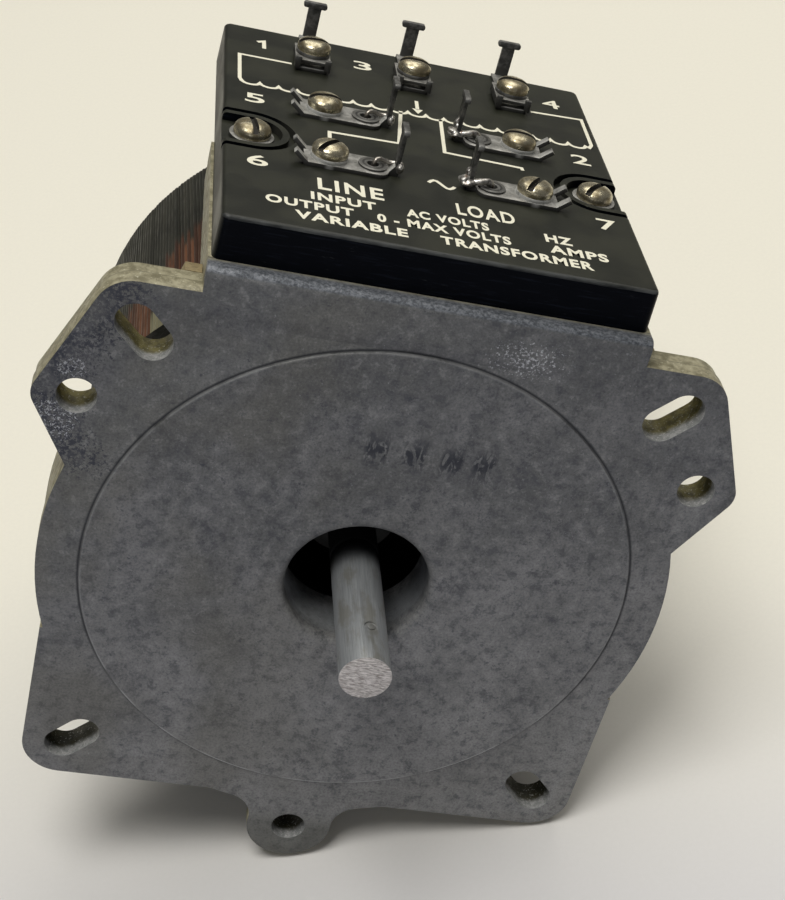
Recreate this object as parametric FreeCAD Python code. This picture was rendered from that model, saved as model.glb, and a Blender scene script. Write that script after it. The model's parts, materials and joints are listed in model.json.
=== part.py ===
"""Variable autotransformer with a die-cast mounting plate and a terminal board.

Frame, in millimetres: the shaft lies along Y and turns in bearings behind the
plate. The origin is on the shaft axis at the front face of the mounting plate.
-Y points out of the plate towards the knob end, +Y points into the winding and
+Z points up to the terminal board.
"""
import FreeCAD, Part
import math
import os

Vector = FreeCAD.Vector
ORIGIN = Vector(0, 0, 0)
Y_AXIS = Vector(0, 1, 0)
Z_AXIS = Vector(0, 0, 1)

# Mounting plate
PLATE_R = 60.0
PLATE_THICK = 3.7
RIM_DEPTH = 7.1
RIM_WIDTH = 3.2
REAR_INSET = 0.3
ROUND_SKIRT_END = 15.8
ROUND_SKIRT_WALL = 2.6
SQUARE_HALF = 57.15
SQUARE_LOW = 57.2
CORNER_R = 8.0
EAR_TOP_Z = 57.1
EAR_TOP_ROUND = 7.0
EAR_TIP_ROUND = 4.5
LOBE_FILLET = 6.0
LOBE_Z = -65.5
LOBE_R = 8.8
DISC_R = 52.0
DISC_HEIGHT = 0.5
WELL_R = 13.8
WELL_LIP_R = 1.7
WELL_DEPTH = 13.2
TUBE_OUT_R = 20.0
TUBE_IN_R = 16.6
TUBE_END = 75.0
BOSS_R = 3.6
BOSS_LONG = 14.0
HOLE_CIRCLE_R = 65.9
HOLE_R = 3.57
HOLE_BOSS_WALL = 2.6
SLOT_BOSS_WALL = 2.4
RIB_THICK = 2.5
SLOT_CENTRE_R = 67.35
SLOT_LENGTH = 12.0

# Shelf that carries the terminal board
SHELF_TOP = 61.8
SHELF_THICK = 4.2
SHELF_HALF = 39.3
SHELF_FRONT = 0.6
SHELF_DEPTH = 13.0
SHELF_ROUND = 1.6
ARM_WIDTH = 12.0
ARM_END = 50.0
SKIRT_THICK = 3.0
SKIRT_BOTTOM = 51.7
SKIRT_RISE = 2.8
PILLAR_R = 5.0

# Shaft and rotor
SHAFT_R = 4.7625
SHAFT_FRONT = -25.5
SHAFT_REAR = 112.0
GROOVE_Y = 8.0
GROOVE_WIDE = 1.1
GROOVE_DEEP = 0.5
MARK_X = 0.6
MARK_Y = -16.8
MARK_R = 1.3
MARK_CORE_R = 0.75
MARK_DEPTH = 0.4
RUN_CLEAR = 0.04
GAP = 0.1

# Winding
COIL_R = 54.0
COIL_BORE_R = 23.5
COIL_FRONT = 10.2
COIL_REAR = 89.3
COIL_CORNER_R = 3.0
WOUND_DEG = 322.0
CORE_R = 50.2
CORE_BORE_R = 28.0
CORE_FRONT = 14.0
CORE_REAR = 85.5
LINER = 1.0
TRACK_IN_R = 33.0
TRACK_OUT_R = 47.0
TRACK_REAR = 89.8

# Coil clamp behind the bore of the winding
CLAMP_FLANGE_R = 30.5
CLAMP_FLANGE_Y = 90.8
CLAMP_REAR = 93.3
CLAMP_CUP_R = 22.2
CUP_WALL = 2.6
CUP_FLOOR_Y = 79.0
HUB_R = 8.4
HUB_FRONT = 30.0
BUSH_R = 6.3
BUSH_LENGTH = 12.0
CLAMP_SCREW_R = 13.4
CLAMP_HEAD_R = 3.2
CLAMP_HEAD_TALL = 2.6
TAKEOFF_X = 6.0
TAKEOFF_Z = 26.0
TAKEOFF_HALF = 2.1

# Radiator that carries the brush
RADIATOR_R = 44.0
RADIATOR_FRONT = 98.0
RADIATOR_THICK = 3.0
RADIATOR_REAR = 106.0
BARREL_FRONT = 86.5
BARREL_R = 12.0
BARREL_IN_R = 9.6
SLEEVE_R = 7.0
BRUSH_R = 39.5
BRUSH_WIDE = 3.2
BRUSH_TALL = 10.0
BRUSH_LONG = 12.0
STOP_R = 27.0
STOP_POST_R = 2.5
STOP_POST_END = 97.3
STOP_LUG_HALF_DEG = 14.3
STOP_LUG_FRONT = 94.8
FIN_COUNT = 24
FIN_THICK = 1.8
WINDOW_HALF = (3.3, 6.8)
HOLDER_WALL = 1.1
HOLDER_FRONT = 92.4
HOLDER_REAR = 109.4
CAP_REAR = 110.4

# Terminal board
BOARD_HALF = 38.45
BOARD_FRONT = 3.5
BOARD_REAR = 92.25
BOARD_TOP = 70.1
BOARD_SCREW_X = 33.0
BOARD_SCREW_Y = 40.0
RECESS_R = 8.2
RECESS_DEEP = 1.6
MOAT_WIDE = 1.3
REAR_ROW_X = (-20.9, 0.0, 20.9)
REAR_ROW_Y = 77.5
POST_Y = 90.7
SIDE_LUGS = (("5", -1, 53.6), ("6", -1, 32.2), ("2", 1, 53.6), ("7", 1, 32.2))
SIDE_SCREW_X = 19.3
EYELET_X = 11.2
TAB_X = 6.9
LUG_WIDE = 7.0
LUG_THICK = 0.8
TAB_TOP = 79.5
POST_TOP = 78.4
HEAD_R = 3.4
HEAD_TALL = 2.4
BOARD_HEAD_R = 3.5
BOARD_HEAD_TALL = 2.6
SHANK_R = 1.7
SHANK_HOLE_R = 1.75
WASHER_R = 3.45
WASHER_THICK = 0.7
SADDLE_TALL = 1.6
EYELET_FLANGE_R = 2.7
EYELET_TUBE_R = 1.45
EYELET_BORE_R = 1.1


# ---------------------------------------------------------------- helpers
def disc(radius, y0, y1, x=0.0, z=0.0):
    """Cylinder along Y."""
    return Part.makeCylinder(radius, y1 - y0, Vector(x, y0, z), Y_AXIS)


def ring(outer, inner, y0, y1, x=0.0, z=0.0):
    """Tube along Y."""
    return disc(outer, y0, y1, x, z).cut(disc(inner, y0 - 1, y1 + 1, x, z))


def upright(radius, z0, z1, x, y):
    """Cylinder along Z."""
    return Part.makeCylinder(radius, z1 - z0, Vector(x, y, z0), Z_AXIS)


def block(x0, x1, y0, y1, z0, z1):
    return Part.makeBox(x1 - x0, y1 - y0, z1 - z0, Vector(x0, y0, z0))


def turned(shape, degrees):
    """Copy of a shape turned about the shaft axis, positive from +Z to +X."""
    copy = shape.copy()
    copy.rotate(ORIGIN, Y_AXIS, degrees)
    return copy


def revolved(profile, degrees=360.0, start=0.0):
    """Solid of revolution about Y from a closed profile of (radius, y)."""
    points = [Vector(radius, y, 0) for radius, y in profile]
    face = Part.Face(Part.makePolygon(points + points[:1]))
    return turned(face.revolve(ORIGIN, Y_AXIS, degrees), start)


def extruded(points, y0, y1):
    """Prism along Y from a closed outline of (x, z)."""
    corners = [Vector(x, y0, z) for x, z in points]
    face = Part.Face(Part.makePolygon(corners + corners[:1]))
    return face.extrude(Vector(0, y1 - y0, 0))


def merged(shapes):
    return shapes[0].multiFuse(shapes[1:]).removeSplitter()


def edges_through(shape, spots, direction, reach=0.05):
    """Straight edges along a direction that pass through the given spots."""
    found = []
    for edge in shape.Edges:
        if edge.Curve.TypeId != "Part::GeomLine":
            continue
        if abs(abs(edge.tangentAt(edge.FirstParameter).dot(direction)) - 1) > 1e-6:
            continue
        if any(edge.distToShape(Part.Vertex(spot))[0] < reach for spot in spots):
            found.append(edge)
    return found


def polar(radius, degrees):
    """(x, z) of a point on a circle about the shaft, from +X towards +Z."""
    angle = math.radians(degrees)
    return radius * math.cos(angle), radius * math.sin(angle)


def wire_solid(points, wire_r, bend_share=0.45):
    """Round wire along straight runs joined by arcs as large as the runs allow."""
    corners = [Vector(*point) for point in points]
    edges = []
    start = corners[0]
    for before, corner, after in zip(corners, corners[1:], corners[2:]):
        back = (before - corner).normalize()
        ahead = (after - corner).normalize()
        short = min((before - corner).Length, (after - corner).Length)
        half = back.getAngle(ahead) / 2
        setback = bend_share * short
        middle = (back + ahead).normalize()
        radius = setback * math.tan(half)
        centre_distance = setback / math.cos(half)
        top = corner + middle * (centre_distance - radius)
        first = corner + back * setback
        last = corner + ahead * setback
        edges.append(Part.LineSegment(start, first).toShape())
        edges.append(Part.Arc(first, top, last).toShape())
        print("bend radius %.1f" % radius)
        start = last
    edges.append(Part.LineSegment(start, corners[-1]).toShape())
    path = Part.Wire(edges)
    section = Part.Wire([Part.Circle(corners[0], corners[1] - corners[0], wire_r).toShape()])
    solid = path.makePipeShell([section], True, False)
    share = solid.Volume / (math.pi * wire_r ** 2 * path.Length)
    print("wire length %.1f, volume share %.3f" % (path.Length, share))
    return solid


def screw_head(radius, tall, x, y, z, slot_deg, slot_wide=1.1, slot_deep=1.2):
    """Domed head standing on z, with a screwdriver slot across it."""
    rim = tall * 0.35
    rise = tall - rim
    ball_r = (radius ** 2 + rise ** 2) / (2 * rise)
    ball = Part.makeSphere(ball_r, Vector(x, y, z + tall - ball_r))
    head = upright(radius, z, z + tall, x, y).common(ball)
    slot = block(-radius - 1, radius + 1, -slot_wide / 2, slot_wide / 2, -slot_deep, 1)
    slot.rotate(ORIGIN, Z_AXIS, slot_deg)
    slot.translate(Vector(x, y, z + tall))
    return head.cut(slot)


def save(shape, name):
    solids = shape.Solids
    if not solids or not shape.isValid():
        raise RuntimeError("bad shape: " + name)
    shape.exportStep("parts/" + name + ".step")
    print("%-22s solids %d volume %.1f" % (name, len(solids), shape.Volume))


# ---------------------------------------------------------------- base casting
def plate_outline(y0, y1, inset=0.0, lobe=True):
    """Outline of the mounting plate as a solid between two planes."""
    half = SQUARE_HALF - inset
    top = EAR_TOP_Z - inset
    low = SQUARE_LOW - inset
    ear = ear_outline(inset)
    pieces = [
        disc(PLATE_R - inset, y0, y1),
        block(-half, half, y0, y1, -low, -20),
        block(-SHELF_HALF, SHELF_HALF, y0, y1, 0, top),
        extruded(ear, y0, y1),
        extruded([(-x, z) for x, z in ear], y0, y1),
    ]
    rounds = [
        (CORNER_R - inset, [(half, -low)]),
        (EAR_TOP_ROUND - inset, [ear[1]]),
        (EAR_TIP_ROUND - inset, [ear[2]]),
    ]
    if lobe:
        pieces.append(disc(LOBE_R - inset, y0, y1, 0, LOBE_Z))
        rounds.append((LOBE_FILLET + inset, [lobe_corner(inset)]))
    body = merged(pieces)
    for radius, spots in rounds:
        both = spots + [(-x, z) for x, z in spots]
        marks = [Vector(x, (y0 + y1) / 2, z) for x, z in both]
        body = body.makeFillet(radius, edges_through(body, marks, Y_AXIS))
    return body


def ear_outline(inset):
    """Right ear as (x, z): along the top, down the outer edge and back to the plate."""
    top = shifted((30, EAR_TOP_Z), (54.3, EAR_TOP_Z), inset)
    outer = shifted((54.3, EAR_TOP_Z), (65.4, 32.4), inset)
    under = shifted((65.4, 32.4), (55.0, 14.2), inset)
    return [top[0], crossing(top, outer), crossing(outer, under), under[1], (30, 14.2)]


def shifted(start, end, inset):
    """A line moved to its right by the inset."""
    run_x, run_z = end[0] - start[0], end[1] - start[1]
    length = math.hypot(run_x, run_z)
    move_x, move_z = inset * run_z / length, -inset * run_x / length
    return (start[0] + move_x, start[1] + move_z), (end[0] + move_x, end[1] + move_z)


def crossing(first, second):
    """Where two lines meet."""
    (ax, az), (bx, bz) = first
    (cx, cz), (dx, dz) = second
    cross = (bx - ax) * (dz - cz) - (bz - az) * (dx - cx)
    along = ((cx - ax) * (dz - cz) - (cz - az) * (dx - cx)) / cross
    return ax + along * (bx - ax), az + along * (bz - az)


def lobe_corner(inset):
    """Where the lobe's circle crosses the plate's circle, on the right."""
    lobe_r = LOBE_R - inset
    plate_r = PLATE_R - inset
    z = (lobe_r ** 2 - plate_r ** 2 - LOBE_Z ** 2) / (-2 * LOBE_Z)
    return math.sqrt(plate_r ** 2 - z ** 2), z


def radial_slot(y0, y1, extra=0.0):
    """Slot along the 45 degree radius in the upper right ear."""
    half = SLOT_LENGTH / 2 - HOLE_R
    radius = HOLE_R + extra
    box = block(-half, half, y0, y1, -radius, radius)
    slot = merged([box, disc(radius, y0, y1, -half, 0), disc(radius, y0, y1, half, 0)])
    slot.rotate(ORIGIN, Y_AXIS, -45)
    x, z = polar(SLOT_CENTRE_R, 45)
    slot.translate(Vector(x, 0, z))
    return slot


def shelf():
    """Ledge, two arms and two side skirts under the terminal board."""
    low = SHELF_TOP - SHELF_THICK
    pieces = [block(-SHELF_HALF, SHELF_HALF, SHELF_FRONT, SHELF_DEPTH, low, SHELF_TOP)]
    pieces.append(block(-SHELF_HALF, SHELF_HALF, 0, PLATE_THICK, PLATE_R - 10, SHELF_TOP))
    for side in (-1, 1):
        inner, outer = sorted((side * (SHELF_HALF - ARM_WIDTH), side * SHELF_HALF))
        pieces.append(block(inner, outer, SHELF_FRONT, ARM_END, low, SHELF_TOP))
        wall = side * (SHELF_HALF - SKIRT_THICK)
        skirt = [(SHELF_FRONT, SKIRT_BOTTOM), (ARM_END - 1.5, SKIRT_BOTTOM + SKIRT_RISE),
                 (ARM_END, SHELF_TOP), (SHELF_FRONT, SHELF_TOP)]
        corners = [Vector(wall, y, z) for y, z in skirt]
        face = Part.Face(Part.makePolygon(corners + corners[:1]))
        pieces.append(face.extrude(Vector(side * SKIRT_THICK, 0, 0)))
        pillar = upright(PILLAR_R, low - 3.0, SHELF_TOP, side * BOARD_SCREW_X, BOARD_SCREW_Y)
        pieces.append(pillar)
    ledge = merged(pieces)
    front = [Vector(0, 0, SHELF_TOP)]
    return ledge.makeFillet(SHELF_ROUND, edges_through(ledge, front, Vector(1, 0, 0)))


def base_casting():
    """Plate with a rim and a round skirt behind it, ribs, the shelf and the mounting holes."""
    front = plate_outline(0, PLATE_THICK)
    rear = plate_outline(PLATE_THICK, RIM_DEPTH, REAR_INSET)
    pocket = plate_outline(PLATE_THICK, RIM_DEPTH + 1, REAR_INSET + RIM_WIDTH, False)
    skirt_r = PLATE_R - REAR_INSET
    skirt_in_r = skirt_r - ROUND_SKIRT_WALL
    pieces = [front, rear.cut(pocket)]
    pieces.append(ring(skirt_r, skirt_in_r, PLATE_THICK - 1, ROUND_SKIRT_END))
    pieces.append(disc(DISC_R, -DISC_HEIGHT, 1))
    pieces.append(shelf())
    hole_spots = [polar(HOLE_CIRCLE_R, degrees) for degrees in (30, 150, 270)]
    for x, z in hole_spots:
        pieces.append(disc(HOLE_R + HOLE_BOSS_WALL, 1, RIM_DEPTH, x, z).common(rear_bound()))
    for quarter in range(4):
        boss = turned(radial_slot(1, RIM_DEPTH, SLOT_BOSS_WALL), 90 * quarter)
        pieces.append(boss.common(rear_bound()))
    half = RIB_THICK / 2
    for number in range(6):
        rib = block(TUBE_OUT_R, skirt_in_r + 1, 1, RIM_DEPTH - 0.4, -half, half)
        pieces.append(turned(rib, 60 * number))
    body = merged(pieces)
    body = body.cut(disc(WELL_R, -2, WELL_DEPTH + 1))
    for x, z in hole_spots:
        body = body.cut(disc(HOLE_R, -2, RIM_DEPTH + 2, x, z))
    for quarter in range(4):
        body = body.cut(turned(radial_slot(-2, RIM_DEPTH + 2), 90 * quarter))
    for side in (-1, 1):
        x = side * BOARD_SCREW_X
        body = body.cut(upright(SHANK_R, PLATE_R - 10, SHELF_TOP + 1, x, BOARD_SCREW_Y))
    body = body.makeFillet(WELL_LIP_R, ring_edges(body, WELL_R, -DISC_HEIGHT))
    return body.makeFillet(0.35, ring_edges(body, DISC_R, -DISC_HEIGHT))


def rear_bound():
    """Space inside the casting's rear outline."""
    return plate_outline(0, RIM_DEPTH, REAR_INSET)


def well_sleeve():
    """Ring that deepens the well of the plate inside the front end of the hub tube."""
    return ring(TUBE_IN_R - 0.05, WELL_R, PLATE_THICK, WELL_DEPTH)


def clamp_screw_spots():
    return [polar(CLAMP_SCREW_R, degrees) for degrees in (30, 150, 270)]


def hub_tube():
    """Tube behind the plate, with a boss for each clamp screw inside its rear end."""
    body = ring(TUBE_OUT_R, TUBE_IN_R, PLATE_THICK, TUBE_END)
    for x, z in clamp_screw_spots():
        boss = disc(BOSS_R, TUBE_END - BOSS_LONG, TUBE_END, x, z)
        body = merged([body, boss.common(disc(TUBE_OUT_R - 1, 0, TUBE_END))])
        body = body.cut(disc(SHANK_R, TUBE_END - BOSS_LONG + 2, TUBE_END + 1, x, z))
    return body


def ring_edges(shape, radius, y, reach=0.01):
    """Full circles of a radius about the shaft at one height."""
    found = []
    for edge in shape.Edges:
        if edge.Curve.TypeId != "Part::GeomCircle":
            continue
        centre = edge.Curve.Center
        on_axis = math.hypot(centre.x, centre.z) < reach
        if on_axis and abs(edge.Curve.Radius - radius) < reach and abs(centre.y - y) < reach:
            found.append(edge)
    return found


# ---------------------------------------------------------------- winding
def coil_shell(outer, inner, y0, y1, corner, degrees, start):
    """Toroid of rectangular section with rounded outer corners."""
    profile = [(inner, y0), (outer, y0), (outer, y1), (inner, y1)]
    body = revolved(profile, degrees, start)
    edges = ring_edges(body, outer, y0) + ring_edges(body, outer, y1)
    return body.makeFillet(corner, edges)


def winding():
    start = (360 - WOUND_DEG) / 2 - 90
    body = coil_shell(COIL_R, COIL_BORE_R, COIL_FRONT, COIL_REAR, COIL_CORNER_R, WOUND_DEG, start)
    hollow = ring(CORE_R + LINER, CORE_BORE_R - LINER, CORE_FRONT - LINER, CORE_REAR + LINER)
    return body.cut(hollow)


def brush_track():
    start = (360 - WOUND_DEG) / 2 - 90
    profile = [(TRACK_IN_R, COIL_REAR), (TRACK_OUT_R, COIL_REAR), (TRACK_OUT_R, TRACK_REAR),
               (TRACK_IN_R, TRACK_REAR)]
    return revolved(profile, WOUND_DEG, start)


def core_parts():
    outer = CORE_R + LINER
    inner = CORE_BORE_R - LINER
    parts = {
        "toroid_core": ring(CORE_R, CORE_BORE_R, CORE_FRONT, CORE_REAR),
        "core_cap_front": ring(outer, inner, CORE_FRONT - LINER, CORE_FRONT),
        "core_cap_rear": ring(outer, inner, CORE_REAR, CORE_REAR + LINER),
        "core_liner_outer": ring(outer, CORE_R, CORE_FRONT, CORE_REAR),
        "core_liner_inner": ring(CORE_BORE_R, inner, CORE_FRONT, CORE_REAR),
    }
    return parts


def coil_pads():
    front = ring(COIL_R - 4, COIL_BORE_R, RIM_DEPTH + 0.1, COIL_FRONT)
    rear = ring(CLAMP_FLANGE_R, COIL_BORE_R, COIL_REAR, CLAMP_FLANGE_Y)
    return front, rear.cut(brush_track())


def fibre_wedges():
    """Tan wedges behind the ears, beside the shelf arms."""
    inner = SHELF_HALF + GAP
    outline = [(inner, 56.9), (42.4, 56.9), (43.4, 53.6), (41.6, 51.0), (inner, 51.0)]
    y0, y1 = RIM_DEPTH + GAP, COIL_FRONT
    shapes = [extruded([(side * x, z) for x, z in outline], y0, y1) for side in (-1, 1)]
    return Part.makeCompound(shapes)


# ---------------------------------------------------------------- bearings
def coil_clamp():
    cup_in = CLAMP_CUP_R - CUP_WALL
    floor_front = TUBE_END + 0.1
    profile = [
        (SHAFT_R + 0.6, HUB_FRONT), (HUB_R, HUB_FRONT), (HUB_R, floor_front),
        (TUBE_OUT_R, floor_front), (CLAMP_CUP_R, floor_front + 2), (CLAMP_CUP_R, CLAMP_FLANGE_Y),
        (CLAMP_FLANGE_R, CLAMP_FLANGE_Y), (CLAMP_FLANGE_R, CLAMP_REAR), (cup_in, CLAMP_REAR),
        (cup_in, CUP_FLOOR_Y), (HUB_R, CUP_FLOOR_Y), (HUB_R, CLAMP_REAR),
        (SHAFT_R + 0.6, CLAMP_REAR),
    ]
    body = revolved(profile)
    body = body.cut(disc(BUSH_R, HUB_FRONT - 1, HUB_FRONT + BUSH_LENGTH))
    body = body.cut(disc(BUSH_R, CLAMP_REAR - BUSH_LENGTH, CLAMP_REAR + 1))
    for x, z in clamp_screw_spots():
        body = body.cut(disc(SHANK_R + 0.3, TUBE_END, CUP_FLOOR_Y + 1, x, z))
    x0 = TAKEOFF_X - TAKEOFF_HALF - 0.5
    x1 = TAKEOFF_X + TAKEOFF_HALF + 0.5
    body = body.cut(block(x0, x1, CLAMP_REAR - 1.2, CLAMP_REAR + 1, 10, CLAMP_FLANGE_R + 2))
    body = body.cut(takeoff_hole(0.9, CLAMP_REAR - 2.4))
    return body.cut(disc(STOP_POST_R - 1.0, CLAMP_FLANGE_Y - 1, CLAMP_REAR + 1, 0, STOP_R))


def stop_post():
    pin = disc(STOP_POST_R - 1.0, CLAMP_FLANGE_Y, CLAMP_REAR, 0, STOP_R)
    return merged([pin, disc(STOP_POST_R, CLAMP_REAR, STOP_POST_END, 0, STOP_R)])


def clamp_screws():
    shapes = []
    top = CUP_FLOOR_Y + CLAMP_HEAD_TALL
    for number, (x, z) in enumerate(clamp_screw_spots()):
        shank = disc(SHANK_R, TUBE_END - 10, CUP_FLOOR_Y, x, z)
        head = disc(CLAMP_HEAD_R, CUP_FLOOR_Y, top, x, z)
        slot = block(-4, 4, top - 1.1, top + 1, -0.5, 0.5)
        slot.rotate(ORIGIN, Y_AXIS, 35 * number)
        slot.translate(Vector(x, 0, z))
        shapes.append(merged([shank, head]).cut(slot))
    return Part.makeCompound(shapes)


def bushings():
    inner = SHAFT_R + RUN_CLEAR
    front = ring(BUSH_R, inner, HUB_FRONT, HUB_FRONT + BUSH_LENGTH)
    rear = ring(BUSH_R, inner, CLAMP_REAR - BUSH_LENGTH, CLAMP_REAR)
    return front, rear


# ---------------------------------------------------------------- rotor
def shaft():
    """Control shaft with a retaining-ring groove inside the well and a screw mark."""
    body = disc(SHAFT_R, SHAFT_FRONT, SHAFT_REAR)
    body = body.cut(ring(SHAFT_R + 1, SHAFT_R - GROOVE_DEEP, GROOVE_Y, GROOVE_Y + GROOVE_WIDE))
    foot = Vector(MARK_X, MARK_Y, SHAFT_R - MARK_DEPTH)
    mark = Part.makeCylinder(MARK_R, 1, foot, Z_AXIS)
    core = Part.makeCylinder(MARK_CORE_R, 1, foot, Z_AXIS)
    return body.cut(mark.cut(core))


def shaft_collar():
    y0 = HUB_FRONT - 7.0
    y1 = HUB_FRONT - 1.1
    body = ring(HUB_R + 1.2, SHAFT_R, y0, y1)
    return body.cut(upright(1.6, 0, 20, 0, (y0 + y1) / 2))


def collar_set_screw():
    y = HUB_FRONT - 4.05
    body = upright(1.6, SHAFT_R, HUB_R + 1.0, 0, y)
    return body.cut(block(-2, 2, y - 0.3, y + 0.3, HUB_R, HUB_R + 3))


def thrust_washers():
    inner = SHAFT_R + RUN_CLEAR
    front = ring(HUB_R, inner, HUB_FRONT - 1.0, HUB_FRONT - GAP)
    rear = ring(HUB_R, inner, CLAMP_REAR + GAP, CLAMP_REAR + 1.1)
    return front, rear


def insulating_sleeve():
    return ring(SLEEVE_R, SHAFT_R, CLAMP_REAR + 1.2, RADIATOR_REAR)


def hub_ring():
    body = ring(SLEEVE_R + 2.5, SHAFT_R, RADIATOR_REAR, SHAFT_REAR - 0.8)
    for degrees in (0, 120):
        body = body.cut(turned(upright(1.6, 0, 20, 0, RADIATOR_REAR + 2.6), degrees))
    return body


def hub_set_screws():
    shapes = []
    for degrees in (0, 120):
        y = RADIATOR_REAR + 2.6
        screw = upright(1.6, SHAFT_R, SLEEVE_R + 2.2, 0, y)
        screw = screw.cut(block(-2, 2, y - 0.3, y + 0.3, SLEEVE_R + 1.2, SLEEVE_R + 4))
        shapes.append(turned(screw, degrees))
    return Part.makeCompound(shapes)


def radiator():
    profile = [
        (SLEEVE_R, CLAMP_REAR + 1.4), (BARREL_IN_R, CLAMP_REAR + 1.4), (BARREL_IN_R, BARREL_FRONT),
        (BARREL_R, BARREL_FRONT), (BARREL_R, RADIATOR_FRONT), (RADIATOR_R, RADIATOR_FRONT),
        (RADIATOR_R, RADIATOR_FRONT + RADIATOR_THICK),
        (BARREL_R + 1.5, RADIATOR_FRONT + RADIATOR_THICK), (BARREL_R, RADIATOR_REAR),
        (SLEEVE_R, RADIATOR_REAR),
    ]
    pieces = [revolved(profile)]
    top = RADIATOR_FRONT + RADIATOR_THICK
    half = FIN_THICK / 2
    for number in range(FIN_COUNT):
        angle = 360 * number / FIN_COUNT
        if abs(angle - 180) < 20:
            continue
        fin = block(-half, half, top - 0.5, RADIATOR_REAR - 0.8, BARREL_R + 4, RADIATOR_R - 1.2)
        pieces.append(turned(fin, angle))
    inner, outer = STOP_R - 3.0, STOP_R + 2.6
    lug = [(inner, STOP_LUG_FRONT), (outer, STOP_LUG_FRONT), (outer, RADIATOR_FRONT + 1),
           (inner, RADIATOR_FRONT + 1)]
    pieces.append(revolved(lug, 2 * STOP_LUG_HALF_DEG, 90 - STOP_LUG_HALF_DEG))
    body = merged(pieces)
    wide, tall = WINDOW_HALF
    body = body.cut(block(-wide, wide, 90, RADIATOR_REAR + 1, -BRUSH_R - tall, -BRUSH_R + tall))
    for spot in holder_screw_spots():
        body = body.cut(disc(1.2, 90, RADIATOR_REAR + 1, *spot))
    return body


def holder_screw_spots():
    return ((-7.0, -BRUSH_R + 3.0), (7.0, -BRUSH_R + 3.0))


def brush_holder():
    z0 = -BRUSH_R - BRUSH_TALL / 2
    z1 = -BRUSH_R + BRUSH_TALL / 2
    half = BRUSH_WIDE / 2
    wall = HOLDER_WALL
    body = block(-half - wall, half + wall, HOLDER_FRONT, HOLDER_REAR, z0 - wall, z1 + wall)
    top = RADIATOR_FRONT + RADIATOR_THICK
    body = merged([body, block(-10, 10, top, top + 1.2, -BRUSH_R - 4.0, -BRUSH_R + 6.0)])
    body = body.cut(block(-half - GAP, half + GAP, 90, 112, z0 - GAP, z1 + GAP))
    for spot in holder_screw_spots():
        body = body.cut(disc(1.2, 90, 112, *spot))
    return body


def holder_screws():
    shapes = []
    top = RADIATOR_FRONT + RADIATOR_THICK + 1.2
    for x, z in holder_screw_spots():
        shank = disc(1.2, RADIATOR_FRONT, top, x, z)
        head = disc(2.3, top, top + 1.6, x, z)
        slot = block(x - 3, x + 3, top + 0.9, top + 2, z - 0.35, z + 0.35)
        shapes.append(merged([shank, head]).cut(slot))
    return Part.makeCompound(shapes)


def brush_cap():
    half = BRUSH_WIDE / 2
    z0 = -BRUSH_R - BRUSH_TALL / 2
    z1 = -BRUSH_R + BRUSH_TALL / 2
    plate = block(-half - 1.6, half + 1.6, HOLDER_REAR, CAP_REAR, z0 - 1.7, z1 + 1.7)
    lips = []
    for z in (z0 - 1.7, z1 + 1.15):
        lips.append(block(-1.2, 1.2, HOLDER_REAR - 4.4, HOLDER_REAR + 0.2, z, z + 0.55))
    return merged([plate] + lips)


def carbon_brush():
    half = BRUSH_WIDE / 2
    front = TRACK_REAR + GAP
    body = block(-half, half, front, front + BRUSH_LONG, -BRUSH_R - BRUSH_TALL / 2,
                 -BRUSH_R + BRUSH_TALL / 2)
    spots = [Vector(x, front, -BRUSH_R) for x in (-half, half)]
    return body.makeChamfer(0.5, edges_through(body, spots, Z_AXIS))


def brush_spring():
    """Compression spring between the brush and the cap."""
    y0 = TRACK_REAR + GAP + BRUSH_LONG
    wire_r = 0.2
    turns = 7
    end_room = 0.45
    length = HOLDER_REAR - y0 - 2 * end_room
    helix = Part.makeHelix(length / turns, length, 1.2)
    section = Part.Wire([Part.Circle(Vector(1.2, 0, 0), Y_AXIS, wire_r).toShape()])
    coil = Part.Wire(helix.Edges).makePipeShell([section], True, True)
    coil.rotate(ORIGIN, Vector(1, 0, 0), -90)
    coil.translate(Vector(0, y0 + end_room, -BRUSH_R))
    return coil


def slip_ring():
    return ring(15.0, BARREL_R, 87.0, 91.5)


def takeoff_hole(radius, y0):
    """Hole for the screw of the take-off strip, from a depth out through the clamp's rear."""
    return disc(radius, y0, CLAMP_REAR + 1, TAKEOFF_X, TAKEOFF_Z)


def takeoff_spring():
    """Bronze strip: a radial tail on the clamp and a wiper over the slip ring."""
    x0 = TAKEOFF_X - TAKEOFF_HALF
    x1 = TAKEOFF_X + TAKEOFF_HALF
    rear = CLAMP_REAR - 0.3
    thick = 0.5
    foot, front = 15.4, 87.4
    tail = block(x0, x1, rear - thick, rear, foot, 34.0)
    drop = block(x0, x1, front, rear, foot, foot + thick)
    wiper = block(-3.0, x1, front, front + 3.4, foot, foot + thick)
    return merged([tail, drop, wiper]).cut(takeoff_hole(0.95, CLAMP_REAR - 2))


def takeoff_insulator():
    half = TAKEOFF_HALF + 0.4
    rear = CLAMP_REAR - 0.8
    body = block(TAKEOFF_X - half, TAKEOFF_X + half, rear - 0.4, rear, 19.0, CLAMP_FLANGE_R)
    return body.cut(takeoff_hole(0.95, CLAMP_REAR - 2))


def takeoff_screw():
    base = CLAMP_REAR - 0.3
    shank = disc(0.85, CLAMP_REAR - 2.3, base, TAKEOFF_X, TAKEOFF_Z)
    head = disc(1.9, base, base + 1.0, TAKEOFF_X, TAKEOFF_Z)
    slot = block(TAKEOFF_X - 3, TAKEOFF_X + 3, base + 0.6, base + 2, TAKEOFF_Z - 0.3,
                 TAKEOFF_Z + 0.3)
    return merged([shank, head]).cut(slot)


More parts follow.
